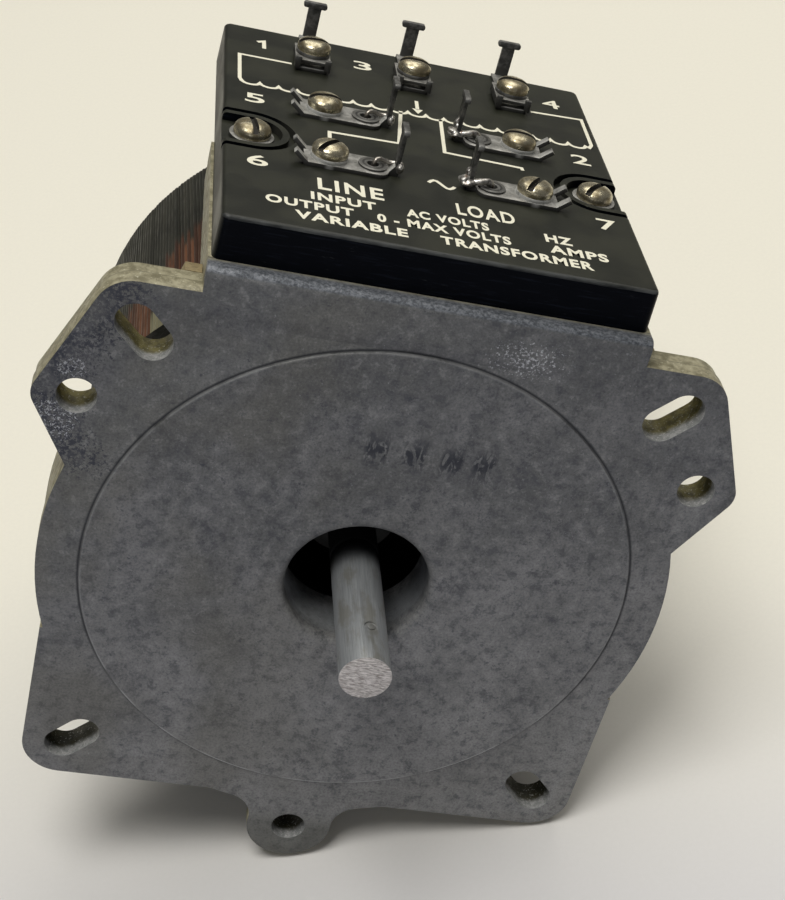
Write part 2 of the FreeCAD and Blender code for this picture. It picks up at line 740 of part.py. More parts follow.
# ---------------------------------------------------------------- terminal board
def recess_shape(radius, z0, z1, side):
    """U shape around a board screw, open to the side edge of the board."""
    round_end = upright(radius, z0, z1, side * BOARD_SCREW_X, BOARD_SCREW_Y)
    x0, x1 = sorted((side * BOARD_SCREW_X, side * (BOARD_HALF + 1)))
    way_out = block(x0, x1, BOARD_SCREW_Y - radius, BOARD_SCREW_Y + radius, z0, z1)
    return merged([round_end, way_out])


def terminal_board():
    half = BOARD_HALF
    corners = [(-half, BOARD_FRONT), (half, BOARD_FRONT), (half, BOARD_REAR), (-half, BOARD_REAR)]
    foot = [Vector(x * 1.008, y, SHELF_TOP) for x, y in corners]
    top = [Vector(x, y, BOARD_TOP) for x, y in corners]
    low = Part.makePolygon(foot + foot[:1])
    high = Part.makePolygon(top + top[:1])
    body = Part.makeLoft([low, high], True)
    uprights = [edge for edge in body.Edges if abs(edge.tangentAt(0).z) > 0.9]
    body = body.makeFillet(1.5, uprights)
    brim = [edge for edge in body.Edges if edge.BoundBox.ZMin > BOARD_TOP - 0.01]
    body = body.makeFillet(0.9, brim)
    for side in (-1, 1):
        low = BOARD_TOP - RECESS_DEEP
        moat = recess_shape(RECESS_R, low, BOARD_TOP + 1, side)
        moat = moat.cut(recess_shape(RECESS_R - MOAT_WIDE, low - 1, BOARD_TOP + 2, side))
        body = body.cut(moat)
        body = body.cut(recess_shape(RECESS_R - 2 * MOAT_WIDE, low, BOARD_TOP + 1, side))
        body = body.cut(upright(2.1, SHELF_TOP - 1, 80, side * BOARD_SCREW_X, BOARD_SCREW_Y))
    for x, y in all_screw_spots():
        body = body.cut(screw_hole(x, y, SHELF_TOP + 2.5))
    for name, side, y in SIDE_LUGS:
        body = body.cut(upright(1.5, SHELF_TOP - 1, 80, side * EYELET_X, y))
    half_wide, half_thick = 1.4, 0.45
    y0, y1 = POST_Y - half_thick, POST_Y + half_thick
    for x in REAR_ROW_X:
        body = body.cut(block(x - half_wide, x + half_wide, y0, y1, 50, 80))
    return body


def screw_hole(x, y, z0=SHELF_TOP):
    """Clearance hole for a terminal screw, from a height up through everything above it."""
    return upright(SHANK_HOLE_R, z0, TAB_TOP + 1, x, y)


def all_screw_spots():
    rear_row = [(x, REAR_ROW_Y) for x in REAR_ROW_X]
    return rear_row + [(side * SIDE_SCREW_X, y) for name, side, y in SIDE_LUGS]


def t_post(x, y, z0, along_x, z_top):
    """T-headed strip: stem 2.7 wide, head 4.9 wide and 1.2 tall."""
    stem_half, head_half, head_tall = 1.35, 2.45, 1.2
    half_thick = LUG_THICK / 2
    stem = block(-stem_half, stem_half, -half_thick, half_thick, z0, z_top - head_tall / 2)
    half_thick += 0.15
    head = block(-head_half, head_half, -half_thick, half_thick, z_top - head_tall, z_top)
    levels = (z_top, z_top - head_tall)
    corners = [Vector(side * head_half, 0, level) for side in (-1, 1) for level in levels]
    head = head.makeFillet(0.5, edges_through(head, corners, Y_AXIS, 0.7))
    post = merged([stem, head])
    if not along_x:
        post.rotate(ORIGIN, Z_AXIS, 90)
    post.translate(Vector(x, y, 0))
    return post


def rear_lug(x):
    """Lug of terminals 1, 3 and 4: a strip that bends up into a T-shaped post."""
    base, top = BOARD_TOP, BOARD_TOP + LUG_THICK
    plate = block(x - 3.1, x + 3.1, REAR_ROW_Y - 4.2, REAR_ROW_Y + 5.5, base, top)
    tongue = block(x - 2.1, x + 2.1, REAR_ROW_Y + 5, POST_Y + LUG_THICK / 2, base, top)
    post = t_post(x, POST_Y, base, True, POST_TOP)
    half = LUG_THICK / 2
    tail = block(x - 1.3, x + 1.3, POST_Y - half, POST_Y + half, SHELF_TOP - 2.6, base + 0.1)
    body = merged([plate, tongue, post, tail])
    return body.cut(screw_hole(x, REAR_ROW_Y))


def saddle_clamp(x):
    """Wire clamp under the screw of terminals 1, 3 and 4: a plate on two side walls."""
    base = BOARD_TOP + LUG_THICK
    half, wall = 3.6, 0.8
    y0 = REAR_ROW_Y - 4.4
    y1 = REAR_ROW_Y + 4.2
    pieces = [block(x - half, x + half, y0, y1, base + 0.9, base + SADDLE_TALL)]
    for side in (-1, 1):
        inner, outer = sorted((x + side * (half - wall), x + side * half))
        pieces.append(block(inner, outer, y0, y1, base, base + SADDLE_TALL - 0.1))
        horn_in, horn_out = sorted((x + side * (half - 1.2), x + side * half))
        pieces.append(block(horn_in, horn_out, y0 - 0.5, y0 + 0.4, base - 0.2, base + 2.3))
    body = merged(pieces)
    body = body.cut(block(x - 3.1, x + 3.1, y0 - 1, REAR_ROW_Y + 5.6, base - 1, base))
    return body.cut(screw_hole(x, REAR_ROW_Y))


def side_lug(side, y):
    """Lug of terminals 5, 6, 2 and 7: forked outer end bent up, T-shaped inner tab."""
    base, top = BOARD_TOP, BOARD_TOP + LUG_THICK
    half = LUG_WIDE / 2
    outer = SIDE_SCREW_X + 4.6
    fork_long, fork_wide, fork_deg = 3.2, 1.7, 40
    plate = block(TAB_X + 1.4, outer, -half, half, base, top)
    neck = block(TAB_X - LUG_THICK / 2, TAB_X + 2, -1.35, 1.35, base, top)
    bend = extruded([(TAB_X, base), (TAB_X + 1.9, base), (TAB_X, base + 2.6)], -1.35, 1.35)
    forks = []
    for fork_y in (-half, half - fork_wide):
        fork = block(0, fork_long, fork_y, fork_y + fork_wide, 0, LUG_THICK)
        fork.rotate(ORIGIN, Y_AXIS, -fork_deg)
        fork.translate(Vector(outer - 0.35, 0, base))
        forks.append(fork)
    post = t_post(TAB_X, 0, base, False, TAB_TOP)
    body = merged([plate, neck, bend, post] + forks)
    body = body.cut(screw_hole(SIDE_SCREW_X, 0))
    body = body.cut(upright(1.5, SHELF_TOP, TAB_TOP + 1, EYELET_X, 0))
    rounded = [Vector(TAB_X + 1.4, edge_y, base + 0.4) for edge_y in (-half, half)]
    body = body.makeFillet(2.0, edges_through(body, rounded, Z_AXIS))
    if side < 0:
        body = body.mirror(ORIGIN, Vector(1, 0, 0))
    body.translate(Vector(0, y, 0))
    return body


def eyelets():
    """Flanged eyelets in the solder holes of terminals 5, 6, 2 and 7."""
    shapes = []
    top = BOARD_TOP + LUG_THICK
    for name, side, y in SIDE_LUGS:
        x = side * EYELET_X
        tube = upright(EYELET_TUBE_R, SHELF_TOP + 0.5, top + 0.1, x, y)
        flange = upright(EYELET_FLANGE_R, top, top + 0.4, x, y)
        bore = upright(EYELET_BORE_R, SHELF_TOP - 1, TAB_TOP + 1, x, y)
        shapes.append(merged([tube, flange]).cut(bore))
    return Part.makeCompound(shapes)


def screw_seats():
    """(x, y, z) of what lies under the washer of each terminal screw."""
    lug_top = BOARD_TOP + LUG_THICK
    seats = []
    for x, y in all_screw_spots():
        rear = y == REAR_ROW_Y
        seats.append((x, y, lug_top + (SADDLE_TALL if rear else 0.0)))
    return seats


def terminal_screws():
    """Seven slotted binding-head screws."""
    shapes = []
    slots = (8, -4, -6, 6, 48, -8, 58)
    for (x, y, z), slot_deg in zip(screw_seats(), slots):
        seat = z + WASHER_THICK
        head = screw_head(HEAD_R, HEAD_TALL, x, y, seat, slot_deg)
        shank = upright(SHANK_R, SHELF_TOP + 3.0, seat + 0.2, x, y)
        shapes.append(merged([shank, head]))
    return Part.makeCompound(shapes)


def terminal_washers():
    shapes = []
    for x, y, z in screw_seats():
        shapes.append(upright(WASHER_R, z, z + WASHER_THICK, x, y).cut(screw_hole(x, y)))
    return Part.makeCompound(shapes)


def board_screws():
    shapes = []
    seat = BOARD_TOP - RECESS_DEEP + WASHER_THICK
    for side, slot_deg in ((-1, 76), (1, -52)):
        x, y = side * BOARD_SCREW_X, BOARD_SCREW_Y
        head = screw_head(BOARD_HEAD_R, BOARD_HEAD_TALL, x, y, seat, slot_deg)
        shank = upright(SHANK_R, SKIRT_BOTTOM, seat + 0.2, x, y)
        shapes.append(merged([shank, head]))
    return Part.makeCompound(shapes)


def board_washers():
    shapes = []
    base = BOARD_TOP - RECESS_DEEP
    for side in (-1, 1):
        x, y = side * BOARD_SCREW_X, BOARD_SCREW_Y
        washer = upright(BOARD_HEAD_R + 0.7, base, base + WASHER_THICK, x, y)
        shapes.append(washer.cut(screw_hole(x, y)))
    return Part.makeCompound(shapes)


def tap_wire(side, y):
    """Bare wire from the winding through an eyelet to the foot of the tab."""
    x = side * EYELET_X
    foot_z = math.sqrt(COIL_R ** 2 - x ** 2) + 0.1
    top = BOARD_TOP + 2.6
    points = [(x, y, foot_z), (x, y, top), (side * (TAB_X + 1.1), y - 2.6, BOARD_TOP + 1.4)]
    return wire_solid(points, 0.5)


def end_lead(x):
    """Lead from the end of the winding to the tail of a rear terminal."""
    side = 1 if x > 0 else -1
    start_x = x - side * 1.5
    start_z = math.sqrt(COIL_R ** 2 - start_x ** 2) + 0.5
    tail_z = SHELF_TOP - 2.0
    points = [(start_x, 80.0, start_z), (start_x, 83.0, start_z + 3.4),
              (x, POST_Y - 1.0, tail_z - 1.0), (x, POST_Y - 1.0, tail_z + 1.6)]
    return wire_solid(points, 0.55)


def takeoff_lead():
    """Lead from the take-off strip up the rear of the winding to terminal 3."""
    points = [(6.0, 93.9, 31.2), (6.0, 93.9, 43.0), (2.0, 93.4, 53.0), (0.0, 92.0, 57.4),
              (0.0, 91.75, 61.2)]
    return wire_solid(points, 0.6)


# ---------------------------------------------------------------- assembly
def build():
    os.makedirs("parts", exist_ok=True)
    save(base_casting(), "base_casting")
    save(hub_tube(), "hub_tube")
    save(well_sleeve(), "well_sleeve")
    save(winding(), "coil_winding")
    save(brush_track(), "brush_track")
    for name, shape in core_parts().items():
        save(shape, name)
    pad_front, pad_rear = coil_pads()
    save(pad_front, "coil_pad_front")
    save(pad_rear, "coil_pad_rear")
    save(fibre_wedges(), "fibre_wedges")
    save(coil_clamp(), "coil_clamp")
    save(clamp_screws(), "clamp_screws")
    save(stop_post(), "stop_post")
    bush_front, bush_rear = bushings()
    save(bush_front, "bushing_front")
    save(bush_rear, "bushing_rear")
    save(takeoff_spring(), "takeoff_spring")
    save(takeoff_insulator(), "takeoff_insulator")
    save(takeoff_screw(), "takeoff_screw")
    save(terminal_board(), "terminal_board")
    save(board_screws(), "board_screws")
    save(board_washers(), "board_washers")
    for name, x in zip(("1", "3", "4"), REAR_ROW_X):
        save(rear_lug(x), "terminal_lug_" + name)
        save(saddle_clamp(x), "saddle_clamp_" + name)
    for name, side, y in SIDE_LUGS:
        save(side_lug(side, y), "terminal_lug_" + name)
        save(tap_wire(side, y), "tap_wire_" + name)
    save(eyelets(), "eyelets")
    save(terminal_screws(), "terminal_screws")
    save(terminal_washers(), "terminal_washers")
    save(end_lead(REAR_ROW_X[0]), "start_lead")
    save(end_lead(REAR_ROW_X[2]), "finish_lead")
    save(takeoff_lead(), "takeoff_lead")
    save(shaft(), "shaft")
    save(shaft_collar(), "shaft_collar")
    save(collar_set_screw(), "collar_set_screw")
    washer_front, washer_rear = thrust_washers()
    save(washer_front, "thrust_washer_front")
    save(washer_rear, "thrust_washer_rear")
    save(insulating_sleeve(), "insulating_sleeve")
    save(hub_ring(), "hub_ring")
    save(hub_set_screws(), "hub_set_screws")
    save(radiator(), "radiator")
    save(slip_ring(), "slip_ring")
    save(brush_holder(), "brush_holder")
    save(holder_screws(), "holder_screws")
    save(brush_cap(), "brush_cap")
    save(carbon_brush(), "carbon_brush")
    save(brush_spring(), "brush_spring")


build()
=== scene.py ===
import bmesh
import bpy
import json
import math
import random
from mathutils import Matrix, Vector, noise as noise_field

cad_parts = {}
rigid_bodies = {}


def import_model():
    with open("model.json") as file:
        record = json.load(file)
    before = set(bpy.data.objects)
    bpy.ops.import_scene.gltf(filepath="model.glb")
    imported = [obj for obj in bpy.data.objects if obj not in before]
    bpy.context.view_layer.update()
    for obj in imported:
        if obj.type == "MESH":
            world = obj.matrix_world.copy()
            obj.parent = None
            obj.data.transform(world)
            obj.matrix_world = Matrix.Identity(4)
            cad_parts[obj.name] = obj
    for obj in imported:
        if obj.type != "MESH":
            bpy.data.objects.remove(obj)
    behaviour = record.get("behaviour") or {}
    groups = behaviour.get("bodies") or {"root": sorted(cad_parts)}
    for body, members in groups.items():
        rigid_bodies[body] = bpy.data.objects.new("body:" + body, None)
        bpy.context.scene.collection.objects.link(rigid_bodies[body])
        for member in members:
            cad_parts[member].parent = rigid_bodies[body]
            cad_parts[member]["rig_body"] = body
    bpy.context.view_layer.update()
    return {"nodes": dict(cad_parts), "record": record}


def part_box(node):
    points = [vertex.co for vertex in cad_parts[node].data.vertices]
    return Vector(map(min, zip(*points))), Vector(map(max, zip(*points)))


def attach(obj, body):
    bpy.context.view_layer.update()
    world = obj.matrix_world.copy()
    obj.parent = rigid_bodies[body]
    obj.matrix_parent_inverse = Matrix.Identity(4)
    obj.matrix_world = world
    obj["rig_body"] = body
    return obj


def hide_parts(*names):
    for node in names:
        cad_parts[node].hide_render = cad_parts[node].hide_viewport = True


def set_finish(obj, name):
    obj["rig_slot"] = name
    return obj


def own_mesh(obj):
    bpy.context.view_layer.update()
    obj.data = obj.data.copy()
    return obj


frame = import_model()
nodes = frame["nodes"]
scene = bpy.context.scene
MM = 0.001
WELD = 2e-6  # points closer than this are one point
UP = Vector((0, 0, 1))

# Camera: place in mm and directions in degrees, in the object's frame
CAMERA_PLACE = (-58.41, -245.48, 193.26)
CAMERA_AZIMUTH = -13.24
CAMERA_ELEVATION = 32.63
CAMERA_ROLL = 15.98
LENS_MM = 66.89

# The object lies on the lobe and a corner of its plate and on the rear of its winding
FLOOR_ROLL = 19.23
FLOOR_LEAN = 11.82

# Make-up of the winding, holes of the plate, screws and terminals, in mm and degrees
TURN_PITCH = 0.89
WOUND_DEG = 322.0
WIRE_THICK = 1.0
COIL_BORE = 23.5
TRACK = (33, 47)  # inner and outer radius of the bare track
TURN_SIDES = 8
TURN_LEAN = 0.045  # degrees that each turn leans for every mm towards the rear
SEAMS = (147.9, 139.3)  # where two turns stand a little apart, in degrees
HOLE_CIRCLE = 65.9
SLOT_CIRCLE = 67.35
SLOT_HALF = 2.43
SLOT_DEEP = 1.15  # screwdriver slots
EYELETS = (11.2, 32.2, 53.6)  # distance from the middle, and the two rows
SCREW_ASIDE = 19.3  # distance of the screws in the same rows


def arrange(thing, **settings):
    """Sets several properties of a thing."""
    for key, value in settings.items():
        setattr(thing, key, value)
    return thing


def opened(mesh, distance=WELD):
    """A mesh taken into a new bmesh and welded."""
    shell = bmesh.new()
    shell.from_mesh(mesh)
    bmesh.ops.remove_doubles(shell, verts=shell.verts, dist=distance)
    return shell


def closed(shell, name):
    """A new mesh from a bmesh, which is freed."""
    mesh = bpy.data.meshes.new(name)
    shell.to_mesh(mesh)
    shell.free()
    return mesh


def put(name, data):
    """A new object in the scene."""
    thing = bpy.data.objects.new(name, data)
    scene.collection.objects.link(thing)
    return thing


def solids_of(node):
    """The box of each separate solid in a node, as (low, high), in order of x and then y."""
    shell = opened(nodes[node].data)
    left = set(shell.verts)
    boxes = []
    while left:
        front = [left.pop()]
        found = []
        while front:
            vertex = front.pop()
            found.append(vertex.co.copy())
            for edge in vertex.link_edges:
                other = edge.other_vert(vertex)
                if other in left:
                    left.remove(other)
                    front.append(other)
        low = Vector([min(point[axis] for point in found) for axis in range(3)])
        high = Vector([max(point[axis] for point in found) for axis in range(3)])
        boxes.append((low, high))
    shell.free()
    return sorted(boxes, key=lambda pair: (round(pair[0].x, 4), round(pair[0].y, 4)))


# ---- materials
class Finish:
    """A node material around one Principled shader, with short calls for its nodes."""

    def __init__(self, name, color, rough, metallic=0.0, **sockets):
        self.material = bpy.data.materials.new(name)
        self.material.use_nodes = True
        self.tree = self.material.node_tree
        self.shader = self.tree.nodes["Principled BSDF"]
        self.material.diffuse_color = (*color, 1)
        self.set("Base Color", (*color, 1))
        self.set("Roughness", rough)
        self.set("Metallic", metallic)
        for socket, value in sockets.items():
            self.set(socket.replace("_", " "), value)
        self.place = self.node("ShaderNodeTexCoord").outputs["Object"]
        self.normal = self.node("ShaderNodeNewGeometry").outputs["True Normal"]

    def set(self, socket, value):
        self.shader.inputs[socket].default_value = value

    def node(self, kind, **settings):
        return arrange(self.tree.nodes.new(kind), **settings)

    def feed(self, source, target):
        """Links an output, or sets a plain value, on an input."""
        if isinstance(source, bpy.types.NodeSocket):
            self.tree.links.new(source, target)
        elif isinstance(source, tuple) and len(source) == 3 and target.type == "RGBA":
            target.default_value = (*source, 1)
        else:
            target.default_value = source

    def drive(self, socket, source):
        self.feed(source, self.shader.inputs[socket])

    def math(self, operation, first, second=0.0):
        made = self.node("ShaderNodeMath", operation=operation)
        self.feed(first, made.inputs[0])
        self.feed(second, made.inputs[1])
        return made.outputs[0]

    def axis(self, name, source=None):
        made = self.node("ShaderNodeSeparateXYZ")
        self.feed(source or self.place, made.inputs[0])
        return made.outputs[name]

    def radius(self):
        """Distance from the shaft's axis."""
        return self.hypot(self.axis("X"), self.axis("Z"))

    def noise(self, size_mm, detail=4.0, rough=0.55, stretch=(1, 1, 1), distortion=0.0):
        """Noise with features of about this size, squeezed along each axis by stretch."""
        mapping = self.node("ShaderNodeMapping")
        self.feed(self.place, mapping.inputs["Vector"])
        mapping.inputs["Scale"].default_value = [1 / (size_mm * MM * s) for s in stretch]
        made = self.node("ShaderNodeTexNoise")
        self.feed(mapping.outputs[0], made.inputs["Vector"])
        for socket, value in (("Scale", 1.0), ("Detail", detail), ("Roughness", rough),
                              ("Distortion", distortion)):
            made.inputs[socket].default_value = value
        return made.outputs["Fac"]

    def band(self, value, low, high, start=0.0, end=1.0):
        """A smooth step from start at low to end at high."""
        made = self.node("ShaderNodeMapRange", interpolation_type="SMOOTHSTEP")
        for target, source in zip(made.inputs, (value, low, high, start, end)):
            self.feed(source, target)
        return made.outputs[0]

    def mix(self, share, first, second):
        made = self.node("ShaderNodeMix", data_type="RGBA")
        self.feed(share, made.inputs["Factor"])
        self.feed(first, made.inputs[6])
        self.feed(second, made.inputs[7])
        return made.outputs[2]

    def bump(self, height, depth_mm, strength=1.0):
        made = self.node("ShaderNodeBump")
        made.inputs["Distance"].default_value = depth_mm * MM
        made.inputs["Strength"].default_value = strength
        self.feed(height, made.inputs["Height"])
        self.drive("Normal", made.outputs[0])

    def add(self, *values):
        total = values[0]
        for value in values[1:]:
            total = self.math("ADD", total, value)
        return total

    def hypot(self, first, second):
        return self.math("SQRT", self.add(self.times(first, first), self.times(second, second)))

    def less(self, first, second):
        return self.math("SUBTRACT", first, second)

    def times(self, *values):
        product = values[0]
        for value in values[1:]:
            product = self.math("MULTIPLY", product, value)
        return product

    def near(self, value, middle, reach):
        """One at middle, falling smoothly to nothing at reach from it."""
        return self.band(self.size(self.less(value, middle)), 0.0, reach, 1.0, 0.0)

    def size(self, value):
        return self.math("ABSOLUTE", value)

    def most(self, first, second):
        return self.math("MAXIMUM", first, second)

    def least(self, first, second):
        return self.math("MINIMUM", first, second)

    def lay(self, share, tone):
        """Mixes a tone over the color so far."""
        self.color = self.mix(share, self.color, tone)

    def paint(self):
        self.drive("Base Color", self.color)

    def rough(self, source, start, end):
        """Roughness from start to end over the middle of a noise."""
        self.drive("Roughness", self.band(source, 0.3, 0.7, start, end))


def hole_distance(made):
    """Distance from the middle of the nearest mounting hole, or from the line of its slot."""
    x, z = made.axis("X"), made.axis("Z")
    wide, tall = made.size(x), made.size(z)
    along = made.less(made.times(made.add(wide, tall), math.sqrt(0.5)), SLOT_CIRCLE * MM)
    across = made.times(made.less(wide, tall), math.sqrt(0.5))
    beyond = made.most(made.less(made.size(along), SLOT_HALF * MM), 0.0)
    slot = made.hypot(beyond, across)
    ear_x, ear_z = (HOLE_CIRCLE * MM * part(math.radians(30)) for part in (math.cos, math.sin))
    ear = made.hypot(made.less(wide, ear_x), made.less(z, ear_z))
    lobe = made.hypot(x, made.add(z, HOLE_CIRCLE * MM))
    return made.least(slot, made.least(ear, lobe))


def cast_alloy():
    """Aged die-cast zinc: mottled grey faces, cream-olive walls, navy and white scuffs."""
    made = Finish("die_cast_alloy", (0.11, 0.112, 0.115), 0.6, 0.2)
    add, band, lay, less, mix, near, noise, times = (
        made.add, made.band, made.lay, made.less, made.mix, made.near, made.noise, made.times)
    x, y, z = (made.axis(name) for name in "XYZ")
    radius = made.radius()
    front = band(y, 0.0005, 0.0001)
    cloud = noise(17, 5, 0.62)
    grain = noise(0.5, 3, 0.75)
    sand = noise(1.1, 4, 0.75)
    # lighter towards the lower right, with clouds and two sizes of grain
    drift = add(x, times(z, -3.6))
    tone = band(add(cloud, drift), 0.2, 0.85)
    made.color = mix(tone, (0.12, 0.122, 0.121), (0.245, 0.245, 0.242))
    mottle = noise(2.4, 5, 0.72)
    lay(band(mottle, 0.5, 0.64, 0.0, 0.6), (0.055, 0.059, 0.067))
    lay(band(mottle, 0.48, 0.34, 0.0, 0.5), (0.29, 0.29, 0.282))
    bloom = times(band(noise(11, 4, 0.65), 0.52, 0.66), band(sand, 0.4, 0.6))
    lay(times(bloom, 0.5), (0.05, 0.052, 0.062))
    olive = times(band(noise(26, 3, 0.5), 0.42, 0.62), band(x, 0.02, -0.03))
    lay(times(olive, 0.45), (0.135, 0.13, 0.105))
    lay(band(grain, 0.44, 0.66, 0.0, 0.4), (0.05, 0.052, 0.056))
    lay(band(grain, 0.44, 0.3, 0.0, 0.3), (0.26, 0.265, 0.265))
    dots = times(band(sand, 0.57, 0.68), band(noise(9, 3, 0.6), 0.36, 0.6))
    lay(times(dots, 0.62), (0.034, 0.038, 0.052))
    flecks = noise(0.75, 3, 0.7, distortion=0.6)
    lay(band(flecks, 0.66, 0.73, 0.0, 0.5), (0.33, 0.34, 0.34))
    # the left ear is speckled navy and white along its edge
    outer = less(0.0729, add(times(x, -0.912), times(z, 0.41)))
    under = less(0.0407, add(times(x, -0.868), times(z, -0.496)))
    inside = made.least(outer, under)
    worn = times(band(inside, 0.0115, 0.0015), band(x, -0.042, -0.048), band(z, 0.014, 0.02))
    navy = band(add(noise(1.0, 5, 0.8), times(worn, 0.14)), 0.57, 0.66)
    navy = times(navy, band(noise(6, 3, 0.6), 0.34, 0.56, 0.45, 1.0))
    lay(times(navy, band(worn, 0.02, 0.3), 0.9), (0.03, 0.033, 0.047))
    white = noise(0.5, 4, 0.7, distortion=0.8)
    bunch = times(near(x, -0.0605, 0.0065), near(z, 0.0275, 0.0065))
    bunch = add(bunch, times(near(x, -0.0585, 0.004), near(z, 0.0385, 0.003)))
    bunch = band(add(bunch, times(noise(4, 3, 0.6), 0.4)), 0.1, 0.7, -0.07, 0.1)
    bright = times(band(worn, 0.05, 0.6), band(add(white, bunch), 0.63, 0.7, 0.0, 0.85))
    lay(bright, (0.5, 0.51, 0.52))
    # scuff above the disc
    scuff = times(near(x, 0.0185, 0.0125), near(z, 0.0545, 0.0065), front)
    chips = band(add(noise(0.6, 4, 0.74), times(scuff, 0.1)), 0.6, 0.69)
    lay(times(chips, band(scuff, 0.05, 0.5)), (0.52, 0.53, 0.54))
    # painted shade in the crease at the foot of the raised disc, strongest at the top, and its rim
    # rubbed bright and partly given a painted highlight, most at the bottom
    disc_bottom = band(z, -0.012, -0.04)
    crease_shade = times(near(radius, 0.0522, 0.0005), band(y, 0.001, 0.0001))
    crease_shade = times(crease_shade, band(disc_bottom, 0.0, 1.0, 0.95, 0.3))
    lay(crease_shade, (0.014, 0.015, 0.018))
    rim = times(near(radius, 0.05185, 0.00042), band(noise(9), 0.36, 0.56))
    rim = times(rim, band(y, 0.001, 0.0001), band(disc_bottom, 0.0, 1.0, 0.25, 0.85))
    lay(rim, (0.42, 0.425, 0.42))
    # four smudges of ink beside the well, worn past reading
    inked = 0.0
    for place in (-0.0035, 0.0035, 0.0105, 0.0165):
        inked = add(inked, near(x, place, 0.0042))
    inked = times(band(inked, 0.3, 0.7), near(z, 0.0315, 0.0052), front)
    inked = times(inked, band(noise(2.6, 3, 0.55, (0.6, 1, 1.5), 1.4), 0.45, 0.52))
    lay(times(inked, 0.9), (0.018, 0.021, 0.03))
    # cream-olive oxide on the walls that face sideways and up; painted shade on the skirt behind
    # the rim
    facing = made.size(made.axis("Y", made.normal))
    side = times(band(facing, 0.8, 0.35), band(radius, 0.0527, 0.0535))
    patch = noise(1.7, 4, 0.6)
    oxide = mix(band(patch, 0.34, 0.66), (0.15, 0.135, 0.078), (0.32, 0.295, 0.195))
    oxide = mix(band(noise(0.7, 3, 0.7), 0.6, 0.72, 0.0, 0.7), oxide, (0.62, 0.6, 0.46))
    distance = hole_distance(made)
    hole = times(band(distance, 0.0046, 0.0041), band(y, 0.0078, 0.0072))
    # deeper in the holes: olive oxide in the upper holes and a near-black painted shade in the
    # lower ones
    depth = add(y, times(patch, 0.002))
    hole_oxide_and_shade = mix(band(z, -0.02, 0.0), (0.03, 0.029, 0.014), (0.2, 0.175, 0.06))
    hole_oxide_and_shade = mix(band(patch, 0.42, 0.6, 0.0, 0.6), hole_oxide_and_shade, (0.05, 0.045, 0.022))
    wall = mix(band(sand, 0.4, 0.6), (0.19, 0.195, 0.19), (0.3, 0.3, 0.29))
    wall = mix(band(depth, 0.0026, 0.0042), wall, hole_oxide_and_shade)
    wall = mix(band(noise(0.5, 4, 0.75), 0.57, 0.66, 0.0, 0.7), wall, (0.62, 0.62, 0.58))
    oxide = mix(hole, oxide, wall)
    seam = times(near(add(y, times(patch, 0.0006)), 0.0041, 0.00035), less(1.0, hole))
    oxide = mix(seam, oxide, (0.05, 0.045, 0.03))
    shelf_brow = times(band(z, 0.0575, 0.0595), band(y, 0.004, 0.002))
    side = times(side, less(1.0, shelf_brow))
    lay(side, oxide)
    # painted shade: the skirt's outer wall behind the rim is near-black and almost without
    # reflection
    skirt_shade = times(band(y, 0.0068, 0.0078), band(radius, 0.0625, 0.0608),
                  band(made.size(z), 0.021, 0.027))
    lay(skirt_shade, (0.006, 0.006, 0.005))
    brow = mix(band(noise(0.55, 4, 0.78, (1.3, 1, 1)), 0.36, 0.68), (0.05, 0.056, 0.065),
               (0.19, 0.202, 0.22))
    lay(times(shelf_brow, band(facing, 0.97, 0.8)), brow)
    # painted light on the well wall just inside its lip, brighter on the left
    lit_well_wall = times(band(radius, 0.0146, 0.0139), band(y, 0.0125, 0.0085), band(y, 0.0012, 0.0045))
    shade = band(x, -0.012, 0.012)
    lay(times(lit_well_wall, band(mottle, 0.3, 0.6, 0.9, 0.5)),
        mix(shade, (0.34, 0.355, 0.36), (0.13, 0.14, 0.15)))
    lobe = times(band(z, -0.0605, -0.0665), less(1.0, side))
    lay(times(lobe, 0.55), (0.062, 0.064, 0.05))
    made.paint()
    made.drive("Roughness", band(noise(3, 4), 0.35, 0.7, 0.48, 0.7))
    plain = less(1.0, made.most(side, skirt_shade))
    made.drive("Metallic", times(plain, 0.2))
    made.drive("Specular IOR Level", band(skirt_shade, 0.0, 1.0, 0.45, 0.02))
    made.bump(add(times(grain, 0.3), times(mottle, 0.3), times(sand, 0.35)), 0.3, 0.5)
    return made.material


def satin_metal(name, light, dark, rough, metallic=0.85, grain=(1, 1, 1), soil=0.6, bore=0.0):
    """Worn metal: two tones in clouds, a fine directional grain, darker soiled patches and, when a
    bore is given, painted shade deep inside it.
    """
    made = Finish(name, light, rough, metallic)
    cloud = made.noise(3.5, 5, 0.6)
    lines = made.noise(0.35, 3, 0.6, grain)
    made.color = made.mix(made.band(cloud, 0.36, 0.66), dark, light)
    made.lay(made.band(lines, 0.55, 0.75, 0.0, 0.4), dark)
    grime = made.band(made.noise(1.4, 5, 0.7), 0.52, 0.7, 0.0, soil)
    soiled = tuple(part * 0.3 for part in dark)
    made.lay(grime, soiled)
    if bore:
        # painted shade: near-black and not metallic deep inside the bore
        inner = made.times(made.band(made.radius(), bore * MM, (bore - 0.4) * MM),
                           made.band(made.axis("Y"), 0.011, 0.013))
        made.lay(inner, (0.004, 0.004, 0.004))
        made.drive("Metallic", made.times(made.less(1.0, inner), metallic))
    made.paint()
    made.rough(cloud, rough + 0.14, rough - 0.08)
    made.bump(lines, 0.05, 0.6)
    return made.material


